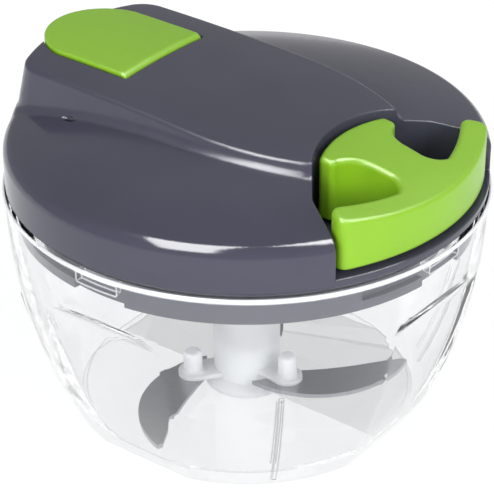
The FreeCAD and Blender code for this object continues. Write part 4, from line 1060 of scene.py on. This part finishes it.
@dataclass
class CoilSpring:
    """Compression spring, wound in place of its rigid solid.

    Attributes:
        node: The solid that it replaces and whose box it fills.
        joint: The joint that presses it; not used.
        wire: Radius of its wire, in millimetres.
        keep: Share of its length that is left when it is pressed; not used.
        turns: Turns of its coil.
        body: The body that it rides on.
        steps: Steps of one turn.
        sides: Sides of its wire.
    """

    node: str
    joint: str
    wire: float
    keep: float = 0.7
    turns: float = 4.0
    body: str = "lid"
    steps: int = 36
    sides: int = 12

    def build(self) -> None:
        """Winds the coil inside the solid's box."""
        low, high = (Vector(corner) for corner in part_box(self.node))
        middle = (low + high) / 2.0
        wire = self.wire * MM
        reach = (high.y - low.y) / 2.0 - wire
        climb = (high.z - low.z - 2.0 * wire) / (self.turns * self.steps)
        shape = bmesh.new()
        start = (Matrix.Translation((middle.x + reach, middle.y, low.z + wire))
                 @ Matrix.Rotation(math.radians(90.0), 4, "X"))
        bmesh.ops.create_circle(shape, cap_ends=True, segments=self.sides, radius=wire, matrix=start)
        bmesh.ops.spin(shape, geom=shape.verts[:] + shape.edges[:] + shape.faces[:],
                       cent=(middle.x, middle.y, 0.0), axis=AXIS, dvec=(0.0, 0.0, climb),
                       angle=math.radians(360.0 * self.turns), steps=round(self.turns * self.steps),
                       use_merge=False)
        coil = finished(shape, self.node + "_coil", Finish.SPRING)
        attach(coil, self.body)
        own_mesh(coil)
        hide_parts(self.node)


@dataclass
class AirRelease:
    """Green button with its pin, springs and vent valve.

    Attributes:
        crease: Angle past which the button's edges stay sharp, in degrees.
        springs: The springs under the button and in the vent.
    """

    crease: float = 30.0
    springs: tuple[CoilSpring, ...] = (CoilSpring("button_spring", "button_press", wire=0.35),
                                       CoilSpring("vent_spring", "vent_open", wire=0.3))

    def build(self) -> None:
        """Dresses the button's and the vent's pieces and winds their springs."""
        dress("release_button", Finish.GREEN, self.crease)
        dress("button_pin", Finish.STEEL)
        for spring in self.springs:
            spring.build()
        dress("vent_plunger", Finish.WHITE)
        dress("vent_seal", Finish.RUBBER)


@dataclass
class PullHandle:
    """Green handle with the cord knotted inside.

    Attributes:
        crease: Angle past which the handle's edges stay sharp, in degrees.
        cord_crease: The same for the cord.
        sides: Sides of the cord's run into the handle.
        lead: Length at its inner end before the first ring, in millimetres.
        drawn: Length after it that is cut into rings, in millimetres.
        rings: Rings of faces in that length.
        cut: Distance within which a cut takes a point as on it, in metres.
    """

    crease: float = 30.0
    cord_crease: float = 40.0
    sides: int = 24
    lead: float = 0.1
    drawn: float = 1.2
    rings: int = 8
    cut: float = 0.0000001

    def pay_out(self) -> None:
        """Makes the cord's run into the handle, cut into rings over a stretch near its inner end."""
        low, high = (Vector(corner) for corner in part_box("cord_handle_run"))
        middle = (low + high) / 2.0
        radius = (high.z - low.z) / 2.0
        shape = bmesh.new()
        lying = Matrix.Translation(middle) @ Matrix.Rotation(math.radians(90.0), 4, "Y")
        bmesh.ops.create_cone(shape, cap_ends=True, segments=self.sides, radius1=radius, radius2=radius,
                              depth=high.x - low.x, matrix=lying)
        for ring in range(self.rings + 1):
            along = low.x + (self.lead + self.drawn * ring / self.rings) * MM
            bmesh.ops.bisect_plane(shape, geom=shape.verts[:] + shape.edges[:] + shape.faces[:],
                                   dist=self.cut, plane_co=(along, 0.0, 0.0), plane_no=(1.0, 0.0, 0.0))
        run = finished(shape, "handle_cord", Finish.CORD)
        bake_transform(run)
        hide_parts("cord_handle_run")

    def build(self) -> None:
        """Dresses the handle's pieces and makes its cord."""
        dress("pull_handle", Finish.GREEN, self.crease)
        for node in ("cord_knot", "cord_inner_run", "cord_winding"):
            dress(node, Finish.CORD, self.cord_crease)
        dress("cord_bush", Finish.WHITE)
        self.pay_out()


@dataclass
class PullMechanism:
    """Cord spool with its recoil spring, ratchet and drive coupler.

    Attributes:
        crease: Angle past which the recoil spring's edges stay sharp, in degrees.
    """

    crease: float = 40.0

    def build(self) -> None:
        """Dresses the mechanism's pieces."""
        for node in ("cord_spool", "pawl_front", "pawl_rear"):
            dress(node, Finish.WHITE)
        dress("spool_housing", Finish.GREY)
        dress("drive_coupler", Finish.MILKY)
        dress("recoil_spring", Finish.SPRING, self.crease)
        dress("spool_axle", Finish.STEEL)
        dress("axle_clip", Finish.SPRING)


@dataclass
class BladeSet:
    """Milky hub with its three sickle blades."""

    def build(self) -> None:
        """Dresses the blade set's pieces."""
        for node in ("blade_hub", "blade_pegs"):
            dress(node, Finish.MILKY)
        for node in ("blade_middle", "blade_lower", "blade_upper"):
            dress(node, Finish.STEEL)


def main() -> None:
    """Builds the studio and every sub-assembly in order."""
    logging.basicConfig(level=logging.INFO, format="%(name)s: %(message)s")
    for part in (Studio(), Bowl(), Lid(), AirRelease(), PullHandle(), PullMechanism(), BladeSet()):
        part.build()


if __name__ == "__main__":
    main()
